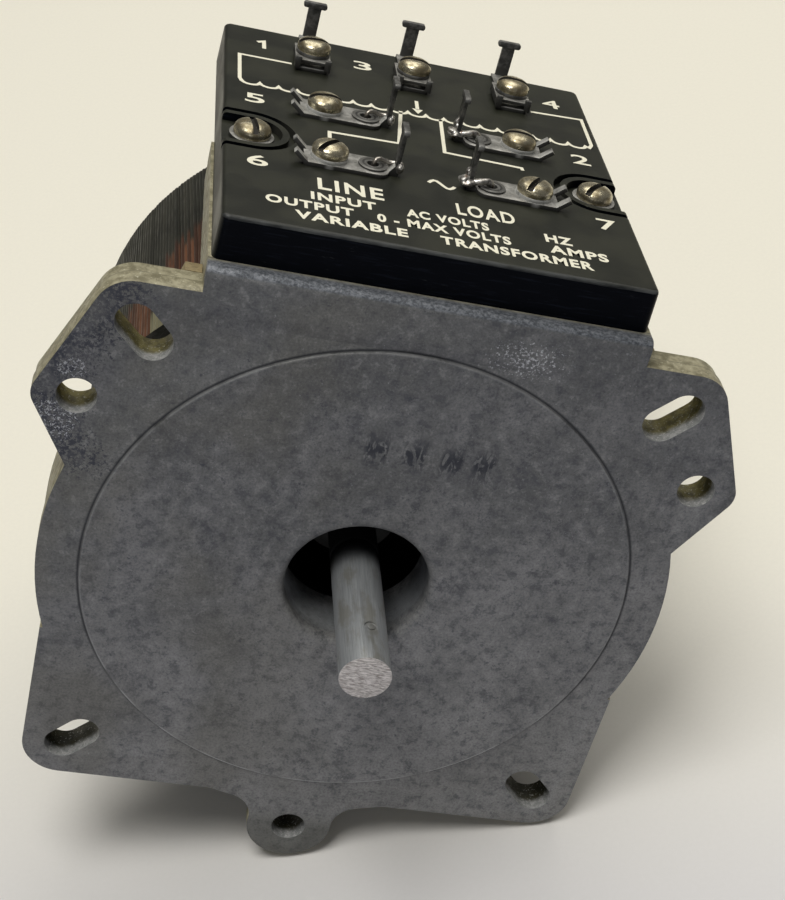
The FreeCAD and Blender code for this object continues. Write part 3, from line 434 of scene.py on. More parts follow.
def tarnished_brass():
    """Domed screws: dull brass with brown tarnish, the walls and bottoms of the slots near-black.
    """
    made = Finish("tarnished_brass", (0.62, 0.58, 0.45), 0.3, 0.85)
    band, times = made.band, made.times
    cloud = made.noise(1.6, 4, 0.6)
    fine = made.noise(0.3, 3, 0.65)
    made.color = made.mix(band(cloud, 0.38, 0.62), (0.25, 0.21, 0.13), (0.55, 0.5, 0.36))
    made.lay(band(fine, 0.56, 0.74, 0.0, 0.45), (0.16, 0.13, 0.08))
    rear_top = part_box("terminal_screws")[1].z
    front_top = min(box[1].z for box in solids_of("terminal_screws"))
    edge_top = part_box("board_screws")[1].z
    on_edge = band(made.size(made.axis("X")), 0.026, 0.028)
    in_rear = band(made.axis("Y"), 0.064, 0.066)
    level = band(on_edge, 0.0, 1.0, band(in_rear, 0.0, 1.0, front_top, rear_top), edge_top)
    below = made.less(level, made.axis("Z"))
    upright = made.size(made.axis("Z", made.normal))
    # the walls and bottoms of the screwdriver slots are made near-black, dull and not metallic
    walls = times(band(upright, 0.3, 0.2), band(below, 0.00122, 0.00112))
    bottom = times(made.near(below, SLOT_DEEP * MM, 0.00012), band(upright, 0.94, 0.98))
    packed = made.most(walls, bottom)
    made.lay(packed, (0.016, 0.013, 0.009))
    made.paint()
    made.drive("Metallic", times(made.less(1.0, packed), 0.85))
    made.drive("Roughness", made.most(times(packed, 0.8), band(cloud, 0.3, 0.7, 0.42, 0.2)))
    made.bump(fine, 0.05, 0.6)
    return made.material


def shaft_steel():
    """Drawn steel with lengthwise scratches, brown film and a rough sawn end, in painted shade
    where it lies deep in the well.
    """
    made = Finish("shaft_steel", (0.3, 0.31, 0.31), 0.4, 0.4)
    band, times = made.band, made.times
    y = made.axis("Y")
    lengthwise = made.noise(0.13, 3, 0.6, (1, 60, 1))
    cloud = made.noise(3, 4, 0.6, (1, 2.5, 1))
    made.color = made.mix(band(lengthwise, 0.3, 0.7), (0.25, 0.262, 0.268), (0.36, 0.375, 0.382))
    made.lay(band(cloud, 0.45, 0.65, 0.0, 0.6), (0.19, 0.18, 0.145))
    # painted shade on the shaft deep in the well, where it also loses its metal and reflection
    made.lay(band(y, 0.0015, 0.0075), (0.012, 0.012, 0.012))
    facing = made.size(made.axis("Y", made.normal))
    sawn = times(band(facing, 0.6, 0.9), band(y, -0.0245, -0.0252))
    cuts = made.noise(0.3, 3, 0.7, (5, 1, 1), 0.4)
    end = made.mix(band(cuts, 0.35, 0.65), (0.3, 0.27, 0.24), (0.78, 0.74, 0.69))
    made.lay(sawn, end)
    made.paint()
    made.rough(lengthwise, 0.34, 0.5)
    made.drive("Metallic", times(band(sawn, 0.0, 1.0, 0.45, 0.4), band(y, 0.0075, 0.0015)))
    made.drive("Specular IOR Level", band(y, 0.0015, 0.0075, 0.5, 0.02))
    height = made.add(times(lengthwise, 0.12), times(sawn, cuts))
    made.bump(height, 0.12, 0.7)
    return made.material


def phenolic():
    """Moulded black board: olive bloom and dust on top, painted light on the top and sides, painted
    shade that makes the front near-black, and a painted highlight along the top front edge.
    """
    made = Finish("phenolic", (0.02, 0.021, 0.02), 0.42, 0.0)
    band, lay, noise, times = made.band, made.lay, made.noise, made.times
    bloom = noise(9, 4, 0.5)
    wide, deep, tall = (made.axis(name, made.normal) for name in "XYZ")
    # painted light on the top and the sideways faces and painted shade on the front, which is
    # near-black navy; the olive clouds on top are the board's bloom
    up = band(tall, 0.5, 0.9)
    top = made.mix(band(bloom, 0.35, 0.65), (0.011, 0.012, 0.008), (0.02, 0.021, 0.013))
    sides = band(made.size(wide), 0.5, 0.9)
    made.color = made.mix(sides, (0.0012, 0.0018, 0.0032), (0.022, 0.022, 0.018))
    fine = noise(0.45, 4, 0.7, (16, 1, 1), 0.2)
    lines = times(band(fine, 0.54, 0.66), band(deep, -0.5, -0.9))
    lay(times(lines, 0.5), (0.008, 0.01, 0.016))
    lay(up, top)
    scratch = noise(0.5, 4, 0.7, (9, 1, 1.2), 0.3)
    marks = times(band(scratch, 0.64, 0.73), band(noise(7, 3), 0.46, 0.6))
    lay(times(marks, 0.3), (0.1, 0.105, 0.11))
    # painted highlight along the top front edge, broken up by noise
    edge = times(band(deep, -0.15, -0.4), band(tall, 0.25, 0.45), band(tall, 0.97, 0.88))
    highlight_breakup = band(noise(4, 4, 0.65, (2.5, 1, 1)), 0.3, 0.62, 0.25, 1.0)
    lay(times(edge, highlight_breakup), (0.06, 0.063, 0.062))
    dust = band(noise(0.3, 2, 0.6), 0.7, 0.78, 0.0, 0.25)
    lay(times(dust, up), (0.12, 0.12, 0.1))
    made.paint()
    made.rough(bloom, 0.4, 0.55)
    shine = made.most(times(up, 0.3), times(sides, 0.25))
    made.drive("Specular IOR Level", made.most(shine, 0.05))
    made.bump(noise(0.45, 3, 0.6), 0.03, 0.5)
    return made.material


def plated_steel():
    """Dull plating: grey tops and dark posts, with painted shade on sides and undersides, painted
    highlights on the ridges and round the screws, and painted shade in the eyelets' grooves and
    bores.
    """
    made = Finish("plated_steel", (0.2, 0.2, 0.19), 0.4, 0.4)
    band, lay, less, noise, times = made.band, made.lay, made.less, made.noise, made.times
    tall = made.axis("Z", made.normal)
    z = made.axis("Z")
    cloud = noise(2.2, 5, 0.65)
    flat = made.mix(band(cloud, 0.36, 0.66), (0.2, 0.197, 0.18), (0.42, 0.412, 0.385))
    # painted light and shade: faces turned up get the grey plating, sides and undersides a dark
    # painted shade
    made.color = made.mix(band(tall, 0.6, 0.92), (0.05, 0.049, 0.045), flat)
    # painted highlight on the bevelled ridges, whose faces lean halfway up
    ridge_highlight = times(made.near(tall, 0.62, 0.33), band(noise(3, 4), 0.3, 0.55))
    lay(times(ridge_highlight, 0.85), (0.6, 0.6, 0.56))
    post = band(z, 0.0724, 0.0732)
    pewter = made.mix(band(cloud, 0.4, 0.62), (0.045, 0.045, 0.043), (0.16, 0.158, 0.15))
    lay(times(post, 0.85), pewter)
    # turned ring of each eyelet, with painted shade in its groove and open bore
    aside, row_1, row_2 = (place * MM for place in EYELETS)
    y = made.axis("Y")
    row = made.least(made.size(less(y, row_1)), made.size(less(y, row_2)))
    reach = made.hypot(less(made.size(made.axis("X")), aside), row)
    lay(band(reach, 0.0028, 0.0025, 0.0, 0.75), (0.07, 0.069, 0.064))
    groove_and_bore_shade = made.most(made.near(reach, 0.00185, 0.00035), band(reach, 0.00105, 0.0009))
    lay(times(groove_and_bore_shade, 0.9), (0.012, 0.012, 0.011))
    # painted highlight: a bright ring round the place of each screw
    around = made.hypot(less(made.size(made.axis("X")), SCREW_ASIDE * MM), row)
    lay(times(made.near(around, 0.0034, 0.00025), 0.8), (0.6, 0.6, 0.57))
    grime = band(noise(1.2, 5, 0.7), 0.54, 0.72, 0.0, 0.6)
    lay(grime, (0.02, 0.018, 0.014))
    made.paint()
    made.rough(cloud, 0.5, 0.32)
    made.bump(noise(0.4, 3, 0.6), 0.04, 0.6)
    return made.material


def print_ink():
    """Cream printing that is slightly worn."""
    made = Finish("print_ink", (0.78, 0.75, 0.6), 0.6)
    wear = made.noise(0.6, 4, 0.7)
    made.color = made.mix(made.band(wear, 0.58, 0.75, 0.0, 0.5), (0.8, 0.77, 0.62),
                          (0.42, 0.4, 0.31))
    made.paint()
    made.bump(wear, 0.01, 0.4)
    return made.material


def magnet_wire():
    """Varnished turns, worn to reddish enamel in two patches and coated tan in a third.

    The turn attribute is each turn's angle in degrees, the tone attribute a number of its own.
    """
    made = Finish("enamelled_wire", (0.05, 0.045, 0.035), 0.5, 0.0, Specular_IOR_Level=0.2)
    band, mix, times = made.band, made.mix, made.times
    turn = made.node("ShaderNodeAttribute", attribute_name="turn").outputs["Fac"]
    tone = made.node("ShaderNodeAttribute", attribute_name="tone").outputs["Fac"]
    y = made.axis("Y")
    along = made.noise(1.2, 4, 0.6, (1, 5, 1))
    patch = made.noise(8, 4, 0.6, (1, 1.5, 1))
    varnish = mix(band(patch, 0.35, 0.65), (0.014, 0.014, 0.011), (0.024, 0.024, 0.018))
    varnish = mix(times(tone, tone, 0.35), varnish, (0.045, 0.042, 0.03))
    enamel = mix(tone, (0.036, 0.016, 0.01), (0.135, 0.057, 0.028))
    enamel = mix(band(along, 0.45, 0.7, 0.0, 0.5), enamel, (0.035, 0.022, 0.014))
    ragged = made.add(y, times(made.less(tone, 0.5), 0.007), times(along, 0.004))
    fall = made.most(made.less(turn, 139.0), 0.0)
    over = made.add(ragged, times(fall, 0.001))
    upper = times(band(turn, 145.2, 144.0), band(turn, 127.0, 129.0), band(y, 0.0375, 0.0405),
                  band(over, 0.0635, 0.0595))
    lower = times(band(turn, 146.9, 147.4), band(turn, 160.0, 158.0), band(ragged, 0.053, 0.049))
    outside = band(made.radius(), 0.0515, 0.0525)
    worn = times(made.most(upper, lower), outside)
    film = times(band(turn, 140.0, 141.5), band(turn, 147.3, 146.9), band(y, 0.0405, 0.0375),
                 outside)
    made.color = mix(worn, varnish, enamel)
    tan = mix(band(patch, 0.35, 0.65), (0.085, 0.08, 0.045), (0.15, 0.14, 0.085))
    made.lay(film, tan)
    made.paint()
    made.rough(along, 0.42, 0.6)
    made.bump(made.noise(0.7, 4, 0.6, (1, 3, 1)), 0.05, 0.5)
    return made.material


def bare_copper():
    """Ground copper of the commutator, with a darker path where the brush runs."""
    made = Finish("bare_copper", (0.72, 0.36, 0.22), 0.28, 0.95)
    radius = made.radius()
    path = made.near(radius, 0.0395, 0.0056)
    cloud = made.noise(2.5, 4, 0.6)
    made.color = made.mix(made.band(cloud, 0.35, 0.65), (0.5, 0.24, 0.14), (0.78, 0.42, 0.27))
    made.lay(made.times(path, 0.45), (0.22, 0.12, 0.08))
    made.paint()
    made.rough(cloud, 0.24, 0.42)
    made.bump(made.noise(0.2, 3, 0.6), 0.02, 0.5)
    return made.material


def fibre(name, light, dark):
    """Pressed fibre board with short dark fibres."""
    made = Finish(name, light, 0.75)
    threads = made.noise(0.5, 4, 0.7, (3, 1, 1), 0.8)
    cloud = made.noise(5, 4, 0.6)
    made.color = made.mix(made.band(cloud, 0.35, 0.65), dark, light)
    worn = made.band(threads, 0.5, 0.68, 0.0, 0.6)
    made.lay(worn, tuple(part * 0.4 for part in dark))
    made.paint()
    made.rough(cloud, 0.65, 0.85)
    made.bump(threads, 0.06, 0.6)
    return made.material


def solder():
    """Dull tin-lead joints with brown flux."""
    made = Finish("solder", (0.42, 0.41, 0.38), 0.34, 0.85)
    flux = made.band(made.noise(1.1, 4, 0.65), 0.5, 0.66, 0.0, 0.85)
    made.color = made.mix(made.band(made.noise(0.7, 4, 0.6), 0.35, 0.65), (0.26, 0.25, 0.23),
                          (0.58, 0.56, 0.52))
    made.lay(flux, (0.09, 0.055, 0.035))
    made.paint()
    made.rough(made.noise(2, 3), 0.25, 0.5)
    made.bump(made.noise(0.5, 3, 0.6), 0.05, 0.6)
    return made.material


def pale_floor():
    """Cream paper with a painted fall-off of light, so that it turns a little violet and darker
    towards the viewer.
    """
    made = Finish("floor", (0.8, 0.78, 0.68), 0.85)
    grain = made.noise(1.0, 3, 0.6)
    # painted shade: darker and more violet towards the viewer
    depth = made.band(made.axis("Y"), -0.17, 0.1)
    tone = made.mix(depth, (0.56, 0.565, 0.66), (0.84, 0.81, 0.7))
    made.color = made.mix(made.band(grain, 0.3, 0.7, 0.0, 0.06), tone, (0.55, 0.54, 0.5))
    made.paint()
    made.bump(grain, 0.05, 0.3)
    return made.material


# Blender adds a number to a name that a material of the frame has
FINISHES = {finish.name.split(".")[0]: finish for finish in (
    cast_alloy(),
    satin_metal("machined_alloy", (0.5, 0.51, 0.52), (0.33, 0.34, 0.35), 0.42,
                grain=(4, 1, 4), bore=17.0),
    satin_metal("radiator_alloy", (0.55, 0.56, 0.57), (0.38, 0.39, 0.4), 0.4, soil=0.45),
    magnet_wire(),
    bare_copper(),
    satin_metal("core_steel", (0.2, 0.21, 0.22), (0.1, 0.1, 0.11), 0.5, grain=(1, 6, 1)),
    fibre("fibre", (0.26, 0.2, 0.12), (0.15, 0.115, 0.07)),
    fibre("tan_fibre", (0.3, 0.24, 0.125), (0.17, 0.13, 0.06)),
    fibre("black_fibre", (0.045, 0.043, 0.04), (0.02, 0.02, 0.02)),
    plated_steel(),
    satin_metal("bronze", (0.5, 0.35, 0.17), (0.3, 0.2, 0.09), 0.36, 0.95),
    tarnished_brass(),
    phenolic(),
    satin_metal("tinned_copper", (0.5, 0.48, 0.44), (0.27, 0.24, 0.2), 0.3, 0.9),
    fibre("lead_sleeve", (0.05, 0.04, 0.03), (0.025, 0.02, 0.017)),
    shaft_steel(),
    fibre("carbon", (0.05, 0.05, 0.055), (0.02, 0.02, 0.022)),
    satin_metal("spring_steel", (0.55, 0.55, 0.54), (0.35, 0.35, 0.34), 0.3, 0.95),
)}
INK = print_ink()
SOLDER = solder()
SLOT_OF = {part["node"]: part["material_slot"] for part in frame["record"]["subparts"]}
BODY_OF = {name: body for body, names in frame["record"]["behaviour"]["bodies"].items()
           for name in names}


# ---- mesh tools
def piece_from(name, mesh, body, slot, material=None, smooth_deg=35.0):
    """A new piece made of a mesh, on a body, in a slot's finish."""
    piece = put(name, mesh)
    mesh.materials.clear()
    mesh.materials.append(material or FINISHES[slot])
    mesh.shade_smooth()
    mesh.set_sharp_from_angle(angle=math.radians(smooth_deg))
    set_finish(piece, slot)
    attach(piece, body)
    return piece


def piece_of(name, points, faces, body, slot, material=None, smooth_deg=35.0):
    mesh = bpy.data.meshes.new(name)
    mesh.from_pydata(points, [], faces)
    mesh.validate()
    return piece_from(name, mesh, body, slot, material, smooth_deg)


def settled(piece):
    """Applies every modifier of a piece to its mesh."""
    graph = bpy.context.evaluated_depsgraph_get()
    mesh = bpy.data.meshes.new_from_object(piece.evaluated_get(graph))
    piece.modifiers.clear()
    piece.data = mesh
    return piece


def bevel(piece, name, width_mm, angle_deg):
    """Rounds over the edges of a piece that are sharper than an angle."""
    return arrange(piece.modifiers.new(name, "BEVEL"), width=width_mm * MM, segments=2,
                   limit_method="ANGLE", angle_limit=math.radians(angle_deg))


def clean_copy(node):
    """The node's mesh as one welded shell with flat faces joined."""
    shell = opened(nodes[node].data)
    bmesh.ops.dissolve_limit(shell, angle_limit=math.radians(0.4), verts=shell.verts,
                             edges=shell.edges)
    mesh = closed(shell, node + "_worn")
    for name in ("custom_normal", "sharp_edge", "sharp_face"):
        if name in mesh.attributes:
            mesh.attributes.remove(mesh.attributes[name])
    return mesh


def softened(node, width_mm):
    """The node again with its sharp edges rounded over."""
    mesh = clean_copy(node)
    piece = piece_from(node + "_worn", mesh, BODY_OF[node], SLOT_OF[node])
    bevel(piece, "rounding", width_mm, 32).use_clamp_overlap = True
    settled(piece)
    piece.data.shade_smooth()
    piece.data.set_sharp_from_angle(angle=math.radians(40))
    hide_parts(node)


def lathed(profile, segments=48):
    """Points and faces of a closed profile of (radius, height) turned about Z."""
    points, faces = [], []
    count = len(profile)
    for step in range(segments):
        angle = 2 * math.pi * step / segments
        for radius, height in profile:
            points.append((radius * math.cos(angle), radius * math.sin(angle), height))
    for step in range(segments):
        here, there = step * count, (step + 1) % segments * count
        for item in range(count):
            after = (item + 1) % count
            faces.append((here + item, there + item, there + after, here + after))
    return points, faces


def welded(mesh, distance=1e-6):
    shell = opened(mesh, distance)
    bmesh.ops.dissolve_degenerate(shell, edges=shell.edges, dist=distance)
    bmesh.ops.recalc_face_normals(shell, faces=shell.faces)
    shell.to_mesh(mesh)
    shell.free()


def mesh_of(data, name):
    """The mesh of a curve or text, made by way of a short-lived object."""
    temporary = put(name, data)
    graph = bpy.context.evaluated_depsgraph_get()
    mesh = bpy.data.meshes.new_from_object(temporary.evaluated_get(graph))
    bpy.data.objects.remove(temporary)
    return mesh


def tube(name, points_mm, radius_mm, body, slot, material=None):
    """A round wire that follows smooth points."""
    curve = arrange(bpy.data.curves.new(name, "CURVE"), dimensions="3D", resolution_u=10,
                    bevel_depth=radius_mm * MM, bevel_resolution=4, use_fill_caps=True)
    line = curve.splines.new("NURBS")
    line.points.add(len(points_mm) - 1)
    for item, point in zip(line.points, points_mm):
        item.co = (*(part * MM for part in point), 1)
    line.order_u = 3
    line.use_endpoint_u = True
    return piece_from(name, mesh_of(curve, name + "_line"), body, slot, material, 50)


def joined(name, parts):
    """Several pieces in one object."""
    shell = bmesh.new()
    for part in parts:
        shell.from_mesh(part.data)
    mesh = closed(shell, name)
    material = parts[0].data.materials[0]
    body, slot = parts[0]["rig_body"], parts[0]["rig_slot"]
    for part in parts:
        bpy.data.objects.remove(part)
    return piece_from(name, mesh, body, slot, material)


# ---- winding
def arc_points(centre, radius, start_deg, end_deg, steps):
    """Points on an arc in the (radius, y) plane, each with its outward direction."""
    found = []
    for step in range(steps + 1):
        angle = math.radians(start_deg + (end_deg - start_deg) * step / steps)
        out = Vector((math.cos(angle), math.sin(angle)))
        found.append((Vector(centre) + out * radius, out))
    return found


def turn_path(outer, bore, front, rear):
    """Centre line of one turn around the core, as (radius, y) points with outward directions."""
    half = WIRE_THICK * MM / 2
    outer_bend, inner_bend = 3.0 * MM, 1.6 * MM
    path = []
    path += arc_points((outer - outer_bend, rear - outer_bend), outer_bend - half, 0, 90, 5)
    path += [(Vector((radius * MM, rear - half)), Vector((0, 1))) for radius in (47, 40, 33)]
    path += arc_points((bore + inner_bend, rear - inner_bend), inner_bend - half, 90, 180, 3)
    path += arc_points((bore + inner_bend, front + inner_bend), inner_bend - half, 180, 270, 3)
    path += [(Vector((radius * MM, front + half)), Vector((0, -1))) for radius in (35, 45)]
    path += arc_points((outer - outer_bend, front + outer_bend), outer_bend - half, 270, 360, 5)
    for share in (0.25, 0.5, 0.75):
        y = front + outer_bend + (rear - front - 2 * outer_bend) * share
        path.append((Vector((outer - half, y)), Vector((1, 0))))
    return path


def turn_angles():
    """Number of turns, the angle between two, and where the first one starts."""
    count = round(WOUND_DEG / TURN_PITCH)
    return count, math.radians(WOUND_DEG) / count, math.radians(90 + (360 - WOUND_DEG) / 2)


def coil_turns():
    """Every turn of the winding as its own loop, with a tone and an angle on each point."""
    low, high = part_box("coil_winding")
    outer, bore = high.x, COIL_BORE * MM
    path = turn_path(outer, bore, low.y, high.y)
    count, pitch, start = turn_angles()
    middle_y = (low.y + high.y) / 2
    half_thick = WIRE_THICK * MM / 2
    around = TURN_SIDES
    chance = random.Random(7)
    points, faces, tones, turns = [], [], [], []
    for number in range(count):
        angle = start + pitch * (number + 0.5 + chance.uniform(-0.06, 0.06))
        degrees = math.degrees(angle) % 360
        tone = chance.random()
        sink = chance.uniform(0.0, 0.05) * MM
        apart = any(abs(degrees - seam) < 0.45 for seam in SEAMS)
        packed = 0.6 if degrees > 160 or degrees < 128 else 0.53
        base = len(points)
        for spot, out in path:
            spot = spot - out * sink
            lean = math.radians(TURN_LEAN) * (spot.y - middle_y) / MM
            here = angle + lean
            side = Vector((-math.sin(here), 0, math.cos(here)))
            width = spot.x * pitch * (0.2 if apart else packed)
            outward = Vector((math.cos(here) * out.x, out.y, math.sin(here) * out.x))
            centre = Vector((math.cos(here) * spot.x, spot.y, math.sin(here) * spot.x))
            drop = 0.12 * half_thick if apart else 0.0
            for step in range(around):
                way = 2 * math.pi * (step + 0.5) / around
                points.append(centre - outward * drop + side * width * 1.2 * math.cos(way)
                              + outward * half_thick * 1.06 * math.sin(way))
                tones.append(tone)
                turns.append(degrees + math.degrees(lean))
        size = len(path)
        for item in range(size):
            here, there = base + item * around, base + (item + 1) % size * around
            for step in range(around):
                after = (step + 1) % around
                faces.append((here + step, here + after, there + after, there + step))
    piece = piece_of("coil_turns", points, faces, "base", "enamelled_wire", smooth_deg=70)
    for name, values in (("tone", tones), ("turn", turns)):
        layer = piece.data.attributes.new(name, "FLOAT", "POINT")
        layer.data.foreach_set("value", values)
    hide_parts("coil_winding")


def commutator_bars():
    """The ground tops of the turns that the brush runs over."""
    low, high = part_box("brush_track")
    inner, outer = (radius * MM for radius in TRACK)
    count, pitch, start = turn_angles()
    foot = low.y - 0.12 * MM
    points, faces = [], []
    for number in range(count):
        middle = start + pitch * (number + 0.5)
        base = len(points)
        for radius, y, share in ((inner, foot, 0.4), (inner + 0.4 * MM, high.y, 0.34),
                                 (outer - 0.4 * MM, high.y, 0.36), (outer, foot, 0.42)):
            for side in (-1, 1):
                angle = middle + side * pitch * share
                points.append((radius * math.cos(angle), y, radius * math.sin(angle)))
        for face in ((0, 1, 3, 2), (2, 3, 5, 4), (4, 5, 7, 6), (6, 7, 1, 0), (0, 2, 4, 6),
                     (1, 7, 5, 3)):
            faces.append(tuple(base + corner for corner in face))
    piece = piece_of("commutator_bars", points, faces, "base", "bare_copper")
    welded(piece.data)
    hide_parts("brush_track")


# ---- terminal board print
PRINT_THICK = 0.02 * MM
DIAGRAM_WIDE = 0.75
CAPITAL_SHARE = 0.7  # a capital's share of the type size


def ribbon(points_mm, width_mm, z):
    """Points and faces of a flat stripe of even width with mitred corners."""
    spots = [Vector(point) * MM for point in points_mm]
    half = width_mm * MM / 2
    points, faces = [], []
    for item, spot in enumerate(spots):
        before = (spot - spots[item - 1]).normalized() if item else None
        after = (spots[item + 1] - spot).normalized() if item + 1 < len(spots) else None
        before, after = before or after, after or before
        across = Vector((-before.y - after.y, before.x + after.x)).normalized()
        stretch = 1 / max(0.5, across.dot(Vector((-before.y, before.x))))
        for side in (-1, 1):
            corner = spot + across * side * half * stretch
            points += [(corner.x, corner.y, z), (corner.x, corner.y, z + PRINT_THICK)]
    for item in range(len(spots) - 1):
        a, b = item * 4, item * 4 + 4
        faces += [(a, b, b + 2, a + 2), (a + 1, a + 3, b + 3, b + 1), (a, a + 1, b + 1, b),
                  (a + 2, b + 2, b + 3, a + 3)]
    last = len(spots) * 4 - 4
    faces += [(0, 2, 3, 1), (last, last + 1, last + 3, last + 2)]
    return points, faces


def scallops(x0, x1, y, count, depth):
    """The row of small arcs that stands for a winding, its cusps towards +Y."""
    found = []
    steps = 10
    pitch = (x1 - x0) / count
    for number in range(count):
        for step in range(steps):
            share = step / steps
            x = x0 + pitch * (number + share)
            sag = math.sqrt(1 - (2 * share - 1) ** 2)
            found.append((x, y + depth * (0.5 - sag)))
    found.append((x1, y + depth * 0.5))
    return found


def printed(name, points, faces):
    welded(piece_of(name, points, faces, "base", "phenolic", INK).data)


def board_lines():
    """Circuit diagram of the board: the winding, its two ends, two taps and the brush arrow."""
    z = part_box("terminal_board")[1].z
    winding = [(-35.4, 75.8), (-35.4, 63.4), (-35.2, 62.5)]
    winding += scallops(-35.1, 35.2, 61.9, 19, 1.5)
    winding += [(35.9, 62.1), (36.6, 63.6), (36.7, 76.4)]
    lines = [
        [(-24.8, 75.9)] + winding + [(25.5, 75.4)],
        [(-3.3, 62.2), (-4.9, 46.3), (-18.4, 45.5), (-18.5, 42.6)],
        [(4.8, 61.8), (4.0, 46.1), (19.2, 45.6), (19.3, 44.6)],
        [(0.5, 69.0), (0.35, 64.6)],
    ]
    points, faces = [], []
    for line in lines:
        some, more = ribbon(line, DIAGRAM_WIDE, z)
        faces += [tuple(len(points) + corner for corner in face) for face in more]
        points += some
    tip = ((-0.75, 64.9), (1.45, 64.8), (0.3, 62.6))
    base = len(points)
    for level in (z, z + PRINT_THICK):
        points += [(x * MM, y * MM, level) for x, y in tip]
    faces += [(base, base + 2, base + 1), (base + 3, base + 4, base + 5)]
    faces += [(base + a, base + b, base + b + 3, base + a + 3) for a, b in ((0, 1), (1, 2), (2, 0))]
    printed("board_diagram", points, faces)


def lettering(name, body, x0, x1, y, tall, weight):
    """A printed word or digit that fills x0 to x1 and stands on y, this tall, in mm."""
    text = arrange(bpy.data.curves.new(name, "FONT"), body=body, size=tall * MM / CAPITAL_SHARE,
                   offset=weight * MM, space_character=1.15, extrude=PRINT_THICK / 2,
                   resolution_u=4)
    mesh = mesh_of(text, name + "_text")
    low = [min(vertex.co[axis] for vertex in mesh.vertices) for axis in range(2)]
    high = [max(vertex.co[axis] for vertex in mesh.vertices) for axis in range(2)]
    wide = (x1 - x0) * MM / (high[0] - low[0])
    high_share = tall * MM / (high[1] - low[1])
    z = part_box("terminal_board")[1].z + PRINT_THICK / 2
    fit = Matrix.Diagonal((wide, high_share, 1, 1)) @ Matrix.Translation((-low[0], -low[1], 0))
    mesh.transform(Matrix.Translation((x0 * MM, y * MM, z)) @ fit)
    piece_from(name, mesh, "base", "phenolic", INK)


def board_lettering():
    """Terminal numbers, a wave for alternating current and plain words for a rating plate."""
    digits = (("3", -9.8, 82.4), ("4", 30.85, 81.9), ("5", -32.5, 54.7), ("2", 32.8, 55.1),
              ("6", -32.25, 27.1), ("7", 33.0, 27.05))
    for digit, x, y in digits:
        lettering("number_" + digit, digit, x - 1.9, x + 1.9, y - 2.15, 4.3, 0.07)
    one = [(-31.7, 84.2), (-30.35, 85.1), (-30.35, 81.15)]
    printed("number_1", *ribbon(one, 0.85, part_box("terminal_board")[1].z))
    words = (("LINE", -21.6, -9.7, 20.0, 4.5), ("LOAD", 3.7, 14.5, 20.0, 4.5),
             ("INPUT", -23.0, -11.4, 15.5, 3.0), ("AC VOLTS", -6.0, 9.0, 15.5, 3.0),
             ("HZ", 19.4, 24.5, 15.5, 3.0), ("OUTPUT", -31.0, -15.6, 11.5, 3.0),
             ("0 - MAX VOLTS", -11.5, 12.5, 11.5, 3.0), ("AMPS", 19.6, 30.5, 11.5, 3.0),
             ("VARIABLE", -26.0, -6.4, 7.3, 3.0), ("TRANSFORMER", -0.6, 27.0, 7.3, 3.0))
    for number, (word, x0, x1, y, tall) in enumerate(words):
        lettering("legend_%02d" % number, word, x0, x1, y, tall, 0.15)
    wave = [(-0.6 + 0.55 * step, 31.2 + 1.3 * math.sin(0.7 * step)) for step in range(10)]
    printed("current_mark", *ribbon(wave, 0.7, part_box("terminal_board")[1].z))


# ---- screws and terminals
def dome_profile(radius, tall):
    """Outline of a domed head: flat underside, short upright rim, round crown."""
    profile = [(0.0, 0.0), (radius * 0.93, 0.0), (radius * 0.985, tall * 0.05),
               (radius, tall * 0.16), (radius, tall * 0.34)]
    steps = 9
    for step in range(1, steps):
        angle = math.pi / 2 * step / steps
        profile.append((radius * math.cos(angle) ** 0.72, tall * (0.34 + 0.66 * math.sin(angle))))
    profile.append((0.0, tall))
    return [(spot[0] * MM, spot[1] * MM) for spot in profile]


def slotted_head(name, box, tall_mm, slot_deg, slot_wide):
    """A domed screw head with a milled slot, over the head of a CAD screw."""
    low, high = box
    centre = Vector(((low.x + high.x) / 2, (low.y + high.y) / 2, high.z - tall_mm * MM))
    radius = (high.x - low.x) / 2 / MM
    points, faces = lathed(dome_profile(radius, tall_mm))
    head = piece_of(name, points, faces, "base", "tarnished_brass")
    welded(head.data, WELD)
    shell = bmesh.new()
    bmesh.ops.create_cube(shell, size=1.0)
    size = Vector((radius * 2.4, slot_wide, SLOT_DEEP * 2)) * MM
    bmesh.ops.transform(shell, verts=shell.verts, matrix=Matrix.Diagonal((*size, 1)))
    turn = Matrix.Rotation(math.radians(slot_deg), 4, "Z")
    place = Matrix.Translation((0, 0, tall_mm * MM)) @ turn
    bmesh.ops.transform(shell, verts=shell.verts, matrix=place)
    cutter = put(name + "_slot", closed(shell, name + "_slot"))
    cut = head.modifiers.new("slot", "BOOLEAN")
    cut.object = cutter
    cut.solver = "EXACT"
    bevel(head, "soft", 0.14, 40)
    bpy.context.view_layer.update()
    settled(head)
    bpy.data.objects.remove(cutter)
    head.data.transform(Matrix.Translation(centre))
    head.data.shade_smooth()
    head.data.set_sharp_from_angle(angle=math.radians(38))
    return head


def screw_heads(node, tall_mm, slots, slot_wide=1.15):
    heads = [slotted_head("%s_%d" % (node, number), box, tall_mm, slot_deg, slot_wide)
             for number, (box, slot_deg) in enumerate(zip(solids_of(node), slots))]
    made = joined(node + "_worn", heads)
    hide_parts(node)


def blob(name, centre_mm, radii_mm, seed, lumps=0.22):
    """A solder joint: a lumpy closed drop."""
    shell = bmesh.new()
    bmesh.ops.create_icosphere(shell, subdivisions=4, radius=1.0)
    shift = Vector((seed * 3.1, seed * 1.7, seed * 2.3))
    for vertex in shell.verts:
        swell = 1 + lumps * noise_field.noise(vertex.co * 1.6 + shift)
        spot = Vector([part * size * swell for part, size in zip(vertex.co, radii_mm)])
        vertex.co = (spot + Vector(centre_mm)) * MM
    piece_from(name, closed(shell, name), "base", "tinned_copper", SOLDER, 80)


def moved(start, *steps):
    return [tuple(here + by for here, by in zip(start, step)) for step in steps]


